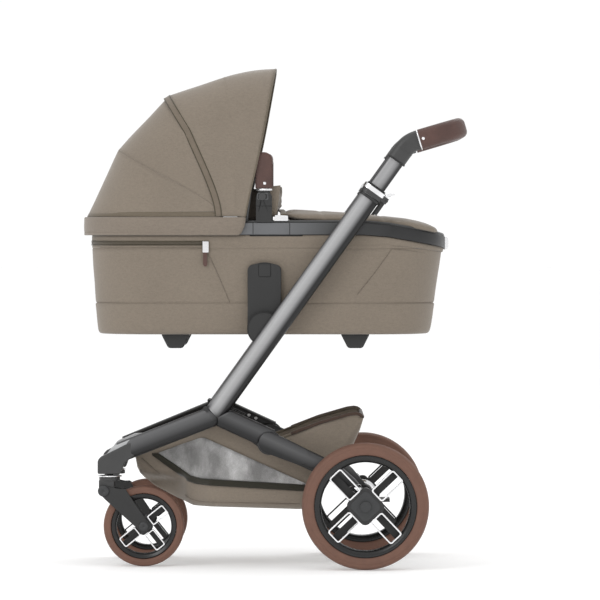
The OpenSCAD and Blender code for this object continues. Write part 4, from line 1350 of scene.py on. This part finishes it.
def handle_details():
    """Collar sleeve and clamp rings on the push tubes, elbow beads, grip ends and their rivets."""
    slope = math.radians(PUSH_SLOPE)
    u = Vector((math.cos(slope), 0, math.sin(slope)))
    oval = rounded_box_outline

    def ring(name, at, length, w, t, y, material):
        points = [PUSH_FOOT + u * (at + length * k / 2) + Vector((0, y, 0)) for k in (-1, 1)]
        return sweep(name, points, [(a, b) for a, b in oval(w, t, t / 2 - 0.0005, 8)], material)

    sleeves, clamps, low_rings = [], [], []
    tail = rounded([(0.2535, 0.8485), (0.2575, 0.8545), (0.2660, 0.8568), (0.2760, 0.8562), (0.2765, 0.8528),
                    (0.2660, 0.8515), (0.2575, 0.8462)], 0.002, 3)
    for side in SIDES:
        y = side * TUBE_Y
        clamps.append(slab("tail", tail, y - 0.0085, y + 0.0085, M["silver"]))
        sleeves.append(ring("sleeve", 0.5985, 0.007, 0.0515, 0.0315, y, M["black"]))
        sleeves.append(ring("lip", 0.6268, 0.004, 0.0475, 0.0285, y, M["shade"]))
        clamps.append(ring("clamp", 0.6185, 0.0105, 0.0580, 0.0370, y, M["silver"]))
        low_rings.append(ring("bead", 0.7035, 0.004, 0.0475, 0.0320, y, M["gloss"]))
    finish_piece(soften(join("collar_sleeves", sleeves), 0.8 * MM), "push_frame", "black_plastic")
    finish_piece(soften(join("clamp_bands", clamps), 1.2 * MM), "push_frame", "silver_trim")
    finish_piece(join("elbow_beads", low_rings), "handle", "dark_plastic")
    a = math.radians(16.5)
    g = Vector((math.cos(a), 0, math.sin(a)))
    down = Vector((math.sin(a), 0, -math.cos(a)))
    start = PUSH_FOOT + u * 0.732 + Vector((math.sin(slope) - math.sin(a), 0, math.cos(a) - math.cos(slope))) * 0.058
    rings, rivets = [], []
    for side in SIDES:
        base = start + Vector((0, side * TUBE_Y, 0))
        rings.append(sweep("ring", [base + g * 0.0036, base + g * 0.0066],
                           oval(0.0485, 0.0315, 0.0152, 8), M["silver"]))
        centre = base + g * 0.015 + Vector((0, side * 0.0149, 0))
        profile = [(0.0002, 0.0), (0.0038, 0.0), (0.0038, side * 0.0008), (0.0026, side * 0.0018),
                   (0.0002, side * 0.002)]
        rivets.append(lathe("rivet", centre, profile, M["silver"], 24))
    path = [start + g * 0.012 + Vector((0, -TUBE_Y, 0)), start + g * 0.0414 + Vector((0, -TUBE_Y, 0))]
    centre_x, corner = 0.0414, 0.062
    for k in range(1, 13):
        b = math.radians(90 * k / 12)
        path.append(start + g * (centre_x + corner * math.sin(b)) + Vector((0, -0.170 - corner * math.cos(b), 0)))
    path += [Vector((p.x, -p.y, p.z)) for p in path[::-1]]
    seam = sample(path, 220)
    under = []
    for i, p in enumerate(seam):
        along = (seam[min(i + 1, 219)] - seam[max(i - 1, 0)]).normalized()
        inward = along.cross(-down).normalized()
        if inward.dot(Vector((0.25, 0, 1.0)) - p) < 0:
            inward = -inward
        under.append(p + down * 0.0226 + inward * 0.002)
    finish_piece(stitches("grip_stitching", under, [down] * 220, M["thread"]), "handle", "brown_leather")
    finish_piece(join("grip_rings", rings), "handle", "silver_trim")
    finish_piece(join("grip_rivets", rivets), "handle", "silver_trim")


# ---------------------------------------------------------------- wheels

def make_wheel(prefix, side, joint, turn, hub, frame_size, ring_share, cover):
    """Tyre, rim, open spoke frames with silver faces, and an eight-sided cap."""
    name = SIDE_NAME[side]
    body = f"{prefix}_wheel_{name}"
    low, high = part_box(f"{prefix}_tyre_{name}")
    centre = PIVOT[joint]
    radius, half = (high.z - low.z) / 2, (high.y - low.y) / 2
    rim_low, rim_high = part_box(f"{prefix}_rim_{name}")
    rim_r, rim_half = (rim_high.x - rim_low.x) / 2 * cover, (rim_high.y - rim_low.y) / 2
    k = radius / 0.145
    tread = [(rim_r + 0.0003, -half * 0.80), (rim_r + 0.0012, -half * 0.93), (rim_r + 0.005 * k, -half * 0.99),
             (mix(rim_r, radius, 0.42), -half), (mix(rim_r, radius, 0.55), -half * 0.985),
             (mix(rim_r, radius, 0.58), -half * 0.955), (mix(rim_r, radius, 0.62), -half * 0.97)]
    for i in range(9):
        b = math.radians(68 - 68 * i / 8)
        tread.append((mix(rim_r, radius, 0.66) + (radius - mix(rim_r, radius, 0.66)) * math.cos(b),
                      -half * 0.965 * math.sin(b) / math.sin(math.radians(68))))
    profile = tread + [(r, -y) for r, y in tread[-2::-1]]
    tyre = lathe(f"{prefix}_tyre_shape_{name}", centre, profile, M["tyre"], 128)
    finish_piece(tyre, body, "brown_tyre", f"{prefix}_tyre_{name}")
    lip = ring_share
    outer = [(rim_r - 0.0002, -rim_half), (rim_r - 0.0002, rim_half), (rim_r - 0.003 * k, rim_half + 0.0012),
             (mix(rim_r, rim_r * lip, 0.55), rim_half - 0.0005), (rim_r * lip + 0.003 * k, rim_half - 0.0035 * k),
             (rim_r * lip, rim_half - 0.009 * k), (rim_r * lip + 0.001, 0),
             (rim_r * lip, -rim_half + 0.009 * k), (rim_r * lip + 0.003 * k, -rim_half + 0.0035 * k),
             (mix(rim_r, rim_r * lip, 0.55), -rim_half + 0.0005), (rim_r - 0.003 * k, -rim_half - 0.0012)]
    parts = [lathe("rim", centre, outer, M["gloss"], 96)]
    face = centre.y + side * (rim_half - 0.0020)
    inner_r = rim_r * lip + 0.002
    silver = []
    for i in range(4):
        a = math.radians(turn + 90 * i)
        c, s = math.cos(a), math.sin(a)
        length, width = frame_size
        mid = mix(hub * 0.80, inner_r, 0.5)

        def turned(outline, shift=0.0):
            return [(centre.x + (mid + shift + x) * c - z * s, centre.z + (mid + shift + x) * s + z * c)
                    for x, z in outline]

        wall = 0.0020 + 0.0014 * k
        big = turned(rounded_box_outline(length, width, width * 0.16, 5))
        small = turned(rounded_box_outline(length - 2 * wall, width - 2 * wall, width * 0.10, 5))
        parts.append(slab("frame", big, face - side * 0.002, face - side * 0.019 * k, M["gloss"], hole=small))
        silver.append(slab("face", big, face - side * 0.002, face, M["silver"], hole=small))
        blade = turned(rounded_box_outline(inner_r * 0.98, width * 0.46, width * 0.10, 3))
        blade = [(x - s * width * 0.16, z + c * width * 0.16) for x, z in blade]
        parts.append(slab("blade", blade, face - side * 0.024 * k, face - side * 0.036 * k, M["black"]))
    spokes = soften(join(f"{prefix}_spokes_{name}", parts), 0.7 * MM, angle=50)
    finish_piece(spokes, body, "black_plastic", f"{prefix}_rim_{name}")
    trim = soften(join(f"{prefix}_spoke_trim_{name}", silver), 0.6 * MM, angle=50)
    finish_piece(trim, body, "silver_trim")
    cap_parts = []
    for r, y0, y1, material in ((hub, -0.030 * k, -0.0012, M["black"]), (hub * 0.80, -0.002, -0.0002, M["cap"])):
        corners = [math.radians(turn + 45 + 90 * i + lean) for i in range(4) for lean in (-8, 8)]
        outline = rounded([(centre.x + r * math.cos(a), centre.z + r * math.sin(a)) for a in corners], r * 0.12, 3)
        cap_parts.append(slab("cap", outline, face + side * y0, face + side * y1, material))
    cap = soften(join(f"{prefix}_cap_{name}", cap_parts), 1.0 * MM)
    finish_piece(cap, body, "black_plastic")
    back = lathe(f"{prefix}_hub_{name}", centre, [(hub * 0.25, -side * rim_half), (hub * 0.62, -side * rim_half),
                                                  (hub * 0.7, -side * rim_half * 0.8), (hub * 0.7, 0),
                                                  (hub * 0.25, 0)], M["black"], 48)
    finish_piece(back, body, "black_plastic")


# ---------------------------------------------------------------- castors

def tapered_bar(a, b, ra, rb, steps=12):
    """Outline round two circles joined by their outer tangents, in the side plane."""
    d = Vector(b) - Vector(a)
    angle = math.atan2(d.y, d.x)
    lean = math.acos((ra - rb) / d.length)
    outline = []
    ends = ((a, ra, angle + lean, angle + 2 * math.pi - lean), (b, rb, angle - lean, angle + lean))
    for centre, r, start, end in ends:
        for i in range(steps + 1):
            t = start + (end - start) * i / steps
            outline.append((centre[0] + r * math.cos(t), centre[1] + r * math.sin(t)))
    return outline


def make_castors():
    """Fork arms, suspension block, pivot caps, swivel ring and the angular castor covers."""
    for side in SIDES:
        name = SIDE_NAME[side]
        pivot, hub = PIVOT[f"fork_{name}_spring"], PIVOT[f"front_wheel_{name}_spin"]
        swivel = PIVOT[f"castor_{name}_swivel"]
        y = abs(pivot.y)
        parts = []
        for inner, outer in ((y + 0.0215, y + 0.0275), (y - 0.0275, y - 0.0215)):
            low_end = [(hub.x + 0.0135 * math.cos(math.radians(a)), hub.z + 0.0135 * math.sin(math.radians(a)))
                       for a in range(-140, 41, 15)]
            arm = [*low_end, (pivot.x + 0.0515, pivot.z + 0.0025), (pivot.x + 0.047, pivot.z + 0.0055),
                   (pivot.x + 0.036, pivot.z + 0.0050), (pivot.x + 0.010, pivot.z + 0.0105),
                   (pivot.x - 0.010, pivot.z - 0.0055), (pivot.x + 0.004, pivot.z - 0.020)]
            parts.append(slab("arm", arm, side * inner, side * outer, M["black"]))
        block = rounded([(pivot.x - 0.004, pivot.z + 0.009), (pivot.x + 0.016, pivot.z + 0.012),
                         (pivot.x + 0.034, pivot.z - 0.004), (pivot.x + 0.026, pivot.z - 0.026),
                         (pivot.x + 0.006, pivot.z - 0.020)], 0.005)
        parts.append(slab("block", block, side * (y - 0.0143), side * (y + 0.0143), M["dark"]))
        bridge = rounded([(pivot.x + 0.016, pivot.z + 0.006), (pivot.x + 0.030, pivot.z - 0.001),
                          (pivot.x + 0.024, pivot.z - 0.022), (pivot.x + 0.012, pivot.z - 0.016)], 0.003)
        parts.append(slab("bridge", bridge, side * (y - 0.0265), side * (y + 0.0265), M["black"]))
        fork = soften(join(f"fork_arms_{name}", parts), 1.6 * MM, segments=3)
        finish_piece(fork, f"fork_{name}", "dark_plastic", f"fork_{name}")
        caps = []
        for centre, r, material in ((hub, 0.0112, M["cap"]),):
            for end in (-1, 1):
                base = Vector((centre.x, side * y + end * 0.0272, centre.z))
                profile = [(0.0003, 0), (r, 0), (r, end * 0.0016), (r * 0.8, end * 0.0030), (0.0003, end * 0.0034)]
                caps.append(lathe("cap", base, profile, material, 36))
        finish_piece(join(f"fork_caps_{name}", caps), f"fork_{name}", "dark_plastic")
        caps = []
        for end in (-1, 1):
            base = Vector((pivot.x, side * y + end * 0.0282, pivot.z))
            profile = [(0.0003, 0), (0.0130, 0), (0.0130, end * 0.0018), (0.0105, end * 0.0034),
                       (0.0003, end * 0.0036)]
            caps.append(lathe("cap", base, profile, M["cap"], 40))
        finish_piece(join(f"pivot_caps_{name}", caps), f"castor_{name}", "dark_plastic")
        z = swivel.z + 0.0012
        rings = [[Vector((swivel.x + a, side * CASTOR_Y + b, z + dz)) for a, b in circle(r, 48)]
                 for r, dz in ((0.0235, -0.0008), (0.0278, -0.0008), (0.0282, 0.0008), (0.0278, 0.0022),
                               (0.0235, 0.0022))]
        ring = loft(f"swivel_ring_{name}", rings, M["silver"], wrap=True)
        finish_piece(ring, f"castor_{name}", "silver_trim")
        cover = rounded([(swivel.x - 0.0268, 0.2135), (swivel.x + 0.0265, 0.2135), (swivel.x + 0.0345, 0.238),
                         (swivel.x + 0.074, 0.2685), (swivel.x + 0.0585, 0.2915), (swivel.x - 0.0215, 0.2515),
                         (swivel.x - 0.0268, 0.244)], 0.004, 3)
        shell = slab(f"castor_cover_{name}", cover, side * (0.155 - 0.0262), side * (0.155 + 0.0272), M["dark"])
        soften(shell, 3.0 * MM, segments=3)
        finish_piece(shell, "front_frame", "dark_plastic", "castor_housings") if side < 0 else \
            finish_piece(shell, "front_frame", "dark_plastic")
        # painted highlight: a pale plate along the cover's upward slanting top face, coloured light for the light
        # that face catches
        lid = rounded([(-0.3895, 0.2520), (-0.3715, 0.2755), (-0.3300, 0.2930), (-0.3095, 0.2940), (-0.3095, 0.2800),
                       (-0.3700, 0.2500)], 0.004, 3)
        plate = slab(f"castor_lid_highlight_{name}", lid, side * (CASTOR_Y - 0.0240), side * (CASTOR_Y + 0.0240), M["lid"])
        soften(plate, 1.0 * MM)
        finish_piece(plate, "front_frame", "dark_plastic")


# ---------------------------------------------------------------- basket

BASKET_FOOT = [(-0.3180, 0.250), (-0.314, 0.226), (-0.304, 0.2045), (-0.278, 0.1800), (-0.226, 0.1530),
               (-0.194, 0.1415), (-0.184, 0.1375), (0.055, 0.1305), (0.072, 0.1335), (0.090, 0.1435),
               (0.1075, 0.166), (0.1375, 0.216), (0.181, 0.282), (0.196, 0.317), (0.2030, 0.342)]
BASKET_TOP = [(-0.3180, 0.266), (-0.1400, 0.3345), (-0.124, 0.3345), (-0.015, 0.2850), (0.040, 0.306), (0.105, 0.331),
              (0.172, 0.3505), (0.188, 0.3525), (0.198, 0.3505), (0.2030, 0.3445)]
BASKET_HALF = [(-0.3180, 0.114), (-0.30, 0.1175), (-0.215, 0.1255), (-0.180, 0.155), (-0.145, 0.187),
               (0.2030, 0.187)]


def basket_half(x, z):
    """Half width of the basket: below the tyre tops it narrows to clear the swivelling castors."""
    half = along_line(BASKET_HALF, x)
    swivel, hub = PIVOT["castor_left_swivel"], PIVOT["front_wheel_left_spin"]
    reach = hub.x - swivel.x + 0.092 + 0.006
    across = abs(swivel.y) - math.sqrt(max(0.0, reach ** 2 - (x - swivel.x) ** 2)) - 0.004
    low = half if x > swivel.x + reach else min(half, max(0.012, across))
    return mix(low, half, smoothstep((z - 0.190) / 0.026))


def basket_section(x, out=0.0):
    """Half of the basket's cross section at x, from the middle of its foot to its top edge."""
    foot = along_line(BASKET_FOOT, x)
    top = max(along_line(BASKET_TOP, x), foot + 0.002)
    half = along_line(BASKET_HALF, x) + out
    r = min(0.028, (top - foot) * 0.45, half * 0.4)
    sag = 0.0055 * smoothstep((x + 0.30) / 0.08) * smoothstep((0.10 - x) / 0.06)
    points = []
    for k in range(9):
        y = (half - r) * k / 8
        points.append((y, foot - out + sag * ((y / half) ** 2) * 0.9))
    for k in range(1, 7):
        a = math.radians(90 * k / 6)
        points.append((half - r + r * math.sin(a), foot - out + sag * 0.9 + r * (1 - math.cos(a))))
    z0 = points[-1][1]
    for k in range(1, 11):
        t = k / 10
        bow = 0.0022 * math.sin(math.pi * t)
        points.append((half - bow, mix(z0, max(top, z0 + 0.0005), t)))
    full = along_line(BASKET_HALF, x)
    return [(y * basket_half(x, z) / full, z) for y, z in points]


def basket_stations():
    xs = [-0.3180, -0.314, -0.308, -0.300]
    xs += [mix(-0.290, -0.215, i / 8) for i in range(9)]
    xs += [mix(-0.205, 0.060, i / 26) for i in range(27)]
    xs += [mix(0.068, 0.2, i / 30) for i in range(31)] + [0.2030]
    return xs


def make_basket():
    """The underseat basket: a lofted shell that sags between its wires, open above."""
    rings = []
    for x in basket_stations():
        half = basket_section(x)
        ring = [Vector((x, -y, z)) for y, z in half[::-1]] + [Vector((x, y, z)) for y, z in half[1:]]
        ring = [p + Vector((0, 1 if p.y > 0 else -1, 0)) * soft_ripple(p, 0.06, 0.0018)
                * smoothstep((abs(p.y) - 0.08) * 20) for p in ring]
        rings.append(ring)
    basket = thicken(loft("basket_cloth", rings, M["cloth"], closed=False), 2.4 * MM, 1.0)
    finish_piece(basket, "front_frame", "melange_cloth", "basket")
    binding = []
    for side in SIDES:
        edge = [Vector((x, side * (basket_section(x)[-1][0] + 0.001), basket_section(x)[-1][1]))
                for x in basket_stations()]
        binding.append(sweep("edge", edge, rounded_box_outline(0.0055, 0.0065, 0.0022), M["hem"],
                             up=Vector((0, 1, 0))))
        flap = [p + Vector((0, side * 0.0012, 0.0006)) for p in edge if p.x > 0.03]
        binding.append(sweep("flap", flap, rounded_box_outline(0.0078, 0.0074, 0.0028), M["flap_edge"],
                             up=Vector((0, 1, 0))))
    end = [Vector((0.2032, y, along_line(BASKET_TOP, 0.2030) + 0.001)) for y in np.linspace(-0.187, 0.187, 30)]
    binding.append(sweep("end", end, rounded_box_outline(0.0078, 0.0074, 0.0028), M["flap_edge"],
                         up=Vector((0, 0, 1))))
    finish_piece(join("basket_binding", binding), "front_frame", "melange_cloth")
    make_basket_sides()


def side_panel(name, upper, lower, material, side, out, columns=60, rows=8):
    """A piece of cloth laid on the basket's side between an upper and a lower line."""
    x0, x1 = max(upper[0][0], lower[0][0]), min(upper[-1][0], lower[-1][0])
    grid = []
    for i in range(columns + 1):
        x = mix(x0, x1, i / columns)
        top, foot = along_line(upper, x), along_line(lower, x)
        low_edge = along_line(BASKET_FOOT, x)
        col = []
        for k in range(rows + 1):
            z = mix(foot, top, k / rows)
            r = 0.028
            dip = max(0.0, low_edge + 0.0045 + r - z)
            pull = r - math.sqrt(max(0.0, r * r - dip * dip))
            wave = soft_ripple((x, side * 0.18, z), 0.06, 0.0018)
            half = basket_half(x, z)
            col.append(Vector((x, side * (half - pull + 0.0024 + out + max(0.0, wave) * 0.6), z)))
        grid.append(col)
    return thicken(loft(name, grid, material, closed=False), 1.2 * MM)


def make_basket_sides():
    """Net windows, the dark band under them and the seam along the foot, on both sides."""
    window_top = [(-0.266, 0.2600), (-0.190, 0.2885), (-0.172, 0.2955), (-0.160, 0.2968), (-0.146, 0.2915),
                  (0.073, 0.1925)]
    window_foot = [(-0.266, 0.2585), (-0.192, 0.2085), (-0.17, 0.2035), (0.073, 0.1895)]
    band_top = [(-0.281, 0.2585), (-0.266, 0.2585), (-0.192, 0.2085), (-0.17, 0.2035), (0.073, 0.1895)]
    band_foot = [(-0.281, 0.2535), (-0.200, 0.1955), (-0.178, 0.1895), (0.073, 0.1745)]
    for side in SIDES:
        name = SIDE_NAME[side]
        net = side_panel(f"basket_net_{name}", window_top, window_foot, M["net"], side, 0.0012)
        finish_piece(net, "front_frame", "melange_cloth")
        dark = side_panel(f"basket_band_{name}", band_top, band_foot, M["basket_band"], side, 0.0022, rows=3)
        finish_piece(dark, "front_frame", "melange_cloth")
    seams = []
    for side in SIDES:
        line = [(-0.305, 0.2465), (-0.262, 0.208), (-0.214, 0.1665), (-0.19, 0.1535), (-0.17, 0.1495), (0.06, 0.1445)]
        points = []
        for p in sample([Vector((x, 0, z)) for x, z in line], 60):
            half = basket_half(p.x, p.z)
            dip = max(0.0, along_line(BASKET_FOOT, p.x) + 0.0045 + 0.028 - p.z)
            pull = 0.028 - math.sqrt(max(0.0, 0.028 ** 2 - dip * dip))
            points.append(Vector((p.x, side * (half - pull + 0.0030), p.z)))
        seams.append(sweep("seam", points, circle(1.1 * MM, 6), M["seam"]))
    finish_piece(join("basket_seams", seams), "front_frame", "melange_cloth")


# ---------------------------------------------------------------- chassis details

def chassis_details():
    """Hip caps, the slot and bolts inside each rear arm, with the slot's pale outline a painted highlight, the
    pedal's ribs and the brake plates.
    """
    parts, bolts = [], []
    for side in SIDES:
        y = side * 0.246
        centre = Vector((HIP.x, 0, HIP.z))
        profile = [(0.0060, y - side * 0.0075), (0.0280, y - side * 0.0075), (0.0280, y - side * 0.0040),
                   (0.0265, y - side * 0.0025), (0.0060, y - side * 0.0025)]
        parts.append(lathe("hip", centre, profile, M["black"], 60))
    finish_piece(join("hip_caps", parts), "rear_frame", "dark_plastic")
    slope = math.radians(-ARM_SLOPE)
    u, n = Vector((math.cos(slope), 0, math.sin(slope))), Vector((-math.sin(slope), 0, math.cos(slope)))
    start, slots = ARM_ORIGIN, []
    for side in SIDES:
        face = side * (TUBE_Y - 0.0143)
        # a real slot whose pale satin outline is a painted highlight along its edge
        outline = [start + u * (0.040 + a) + n * (0.010 + b) for a, b in rounded_box_outline(0.042, 0.0045, 0.002)]
        inner = [start + u * (0.040 + a) + n * (0.010 + b) for a, b in rounded_box_outline(0.040, 0.0025, 0.001)]
        slots.append(slab("slot", [(p.x, p.z) for p in outline], face, face - side * 0.0007, M["satin"],
                          hole=[(p.x, p.z) for p in inner]))
        for a in (0.070, 0.088):
            p = start + u * a + n * 0.012
            profile = [(0.0003, 0), (0.0038, 0), (0.0038, -side * 0.001), (0.0003, -side * 0.0018)]
            bolts.append(lathe("bolt", Vector((p.x, face, p.z)), profile, M["steel"], 20))
    finish_piece(join("arm_slot_highlights", slots), "front_frame", "black_plastic")
    finish_piece(join("arm_bolts", bolts), "front_frame", "pins")
    low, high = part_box("brake_pedal")
    pads = []
    for i in range(5):
        x = mix(low.x + 0.036, high.x - 0.006, i / 4)
        outline = rounded([(x - 0.0017, high.z - 0.0195), (x + 0.0017, high.z - 0.0195),
                           (x + 0.0017, high.z - 0.0178), (x - 0.0017, high.z - 0.0178)], 0.0006, 2)
        pads.append(slab("rib", [(a, b + 0.0075 - 0.0009) for a, b in outline], -0.033, 0.033, M["black"]))
    finish_piece(join("pedal_ribs", pads), "brake_pedal", "black_plastic")
    brakes = []
    for side in SIDES:
        centre = PIVOT[f"rear_wheel_{SIDE_NAME[side]}_spin"]
        y = side * 0.2495
        profile = [(0.016, y), (0.034, y), (0.034, y - side * 0.0022), (0.016, y - side * 0.0022)]
        brakes.append(lathe("disc", Vector((centre.x, 0, centre.z)), profile, M["chrome"], 48))
        hook = rounded([(centre.x - 0.048, centre.z + 0.040), (centre.x - 0.010, centre.z + 0.050),
                        (centre.x + 0.002, centre.z + 0.018), (centre.x - 0.030, centre.z + 0.012)], 0.006, 4)
        brakes.append(slab("hook", hook, side * 0.2478, side * 0.2500, M["chrome"]))
    finish_piece(join("brake_plates", brakes), "rear_frame", "silver_trim")


# ---------------------------------------------------------------- the whole model

make_camera()
make_studio()
frame_finishes()
chassis_tubes()
make_tub()
tub_seams()
rim_details()
make_mattress()
make_apron()
hood_lines = make_hood()
hood_trim(hood_lines)
make_band(hood_lines["hem"])
carry_handle()
post_details()
make_adapters()
hub_rings()
handle_details()
for wheel_side in SIDES:
    side_word = SIDE_NAME[wheel_side]
    make_wheel("rear", wheel_side, f"rear_wheel_{side_word}_spin", 45 - 1.5, 0.0425, (0.0695, 0.0365), 0.861, 0.978)
    make_wheel("front", wheel_side, f"front_wheel_{side_word}_spin", 38.5, 0.021, (0.0455, 0.0262), 0.835, 1.0)
make_castors()
make_basket()
chassis_details()
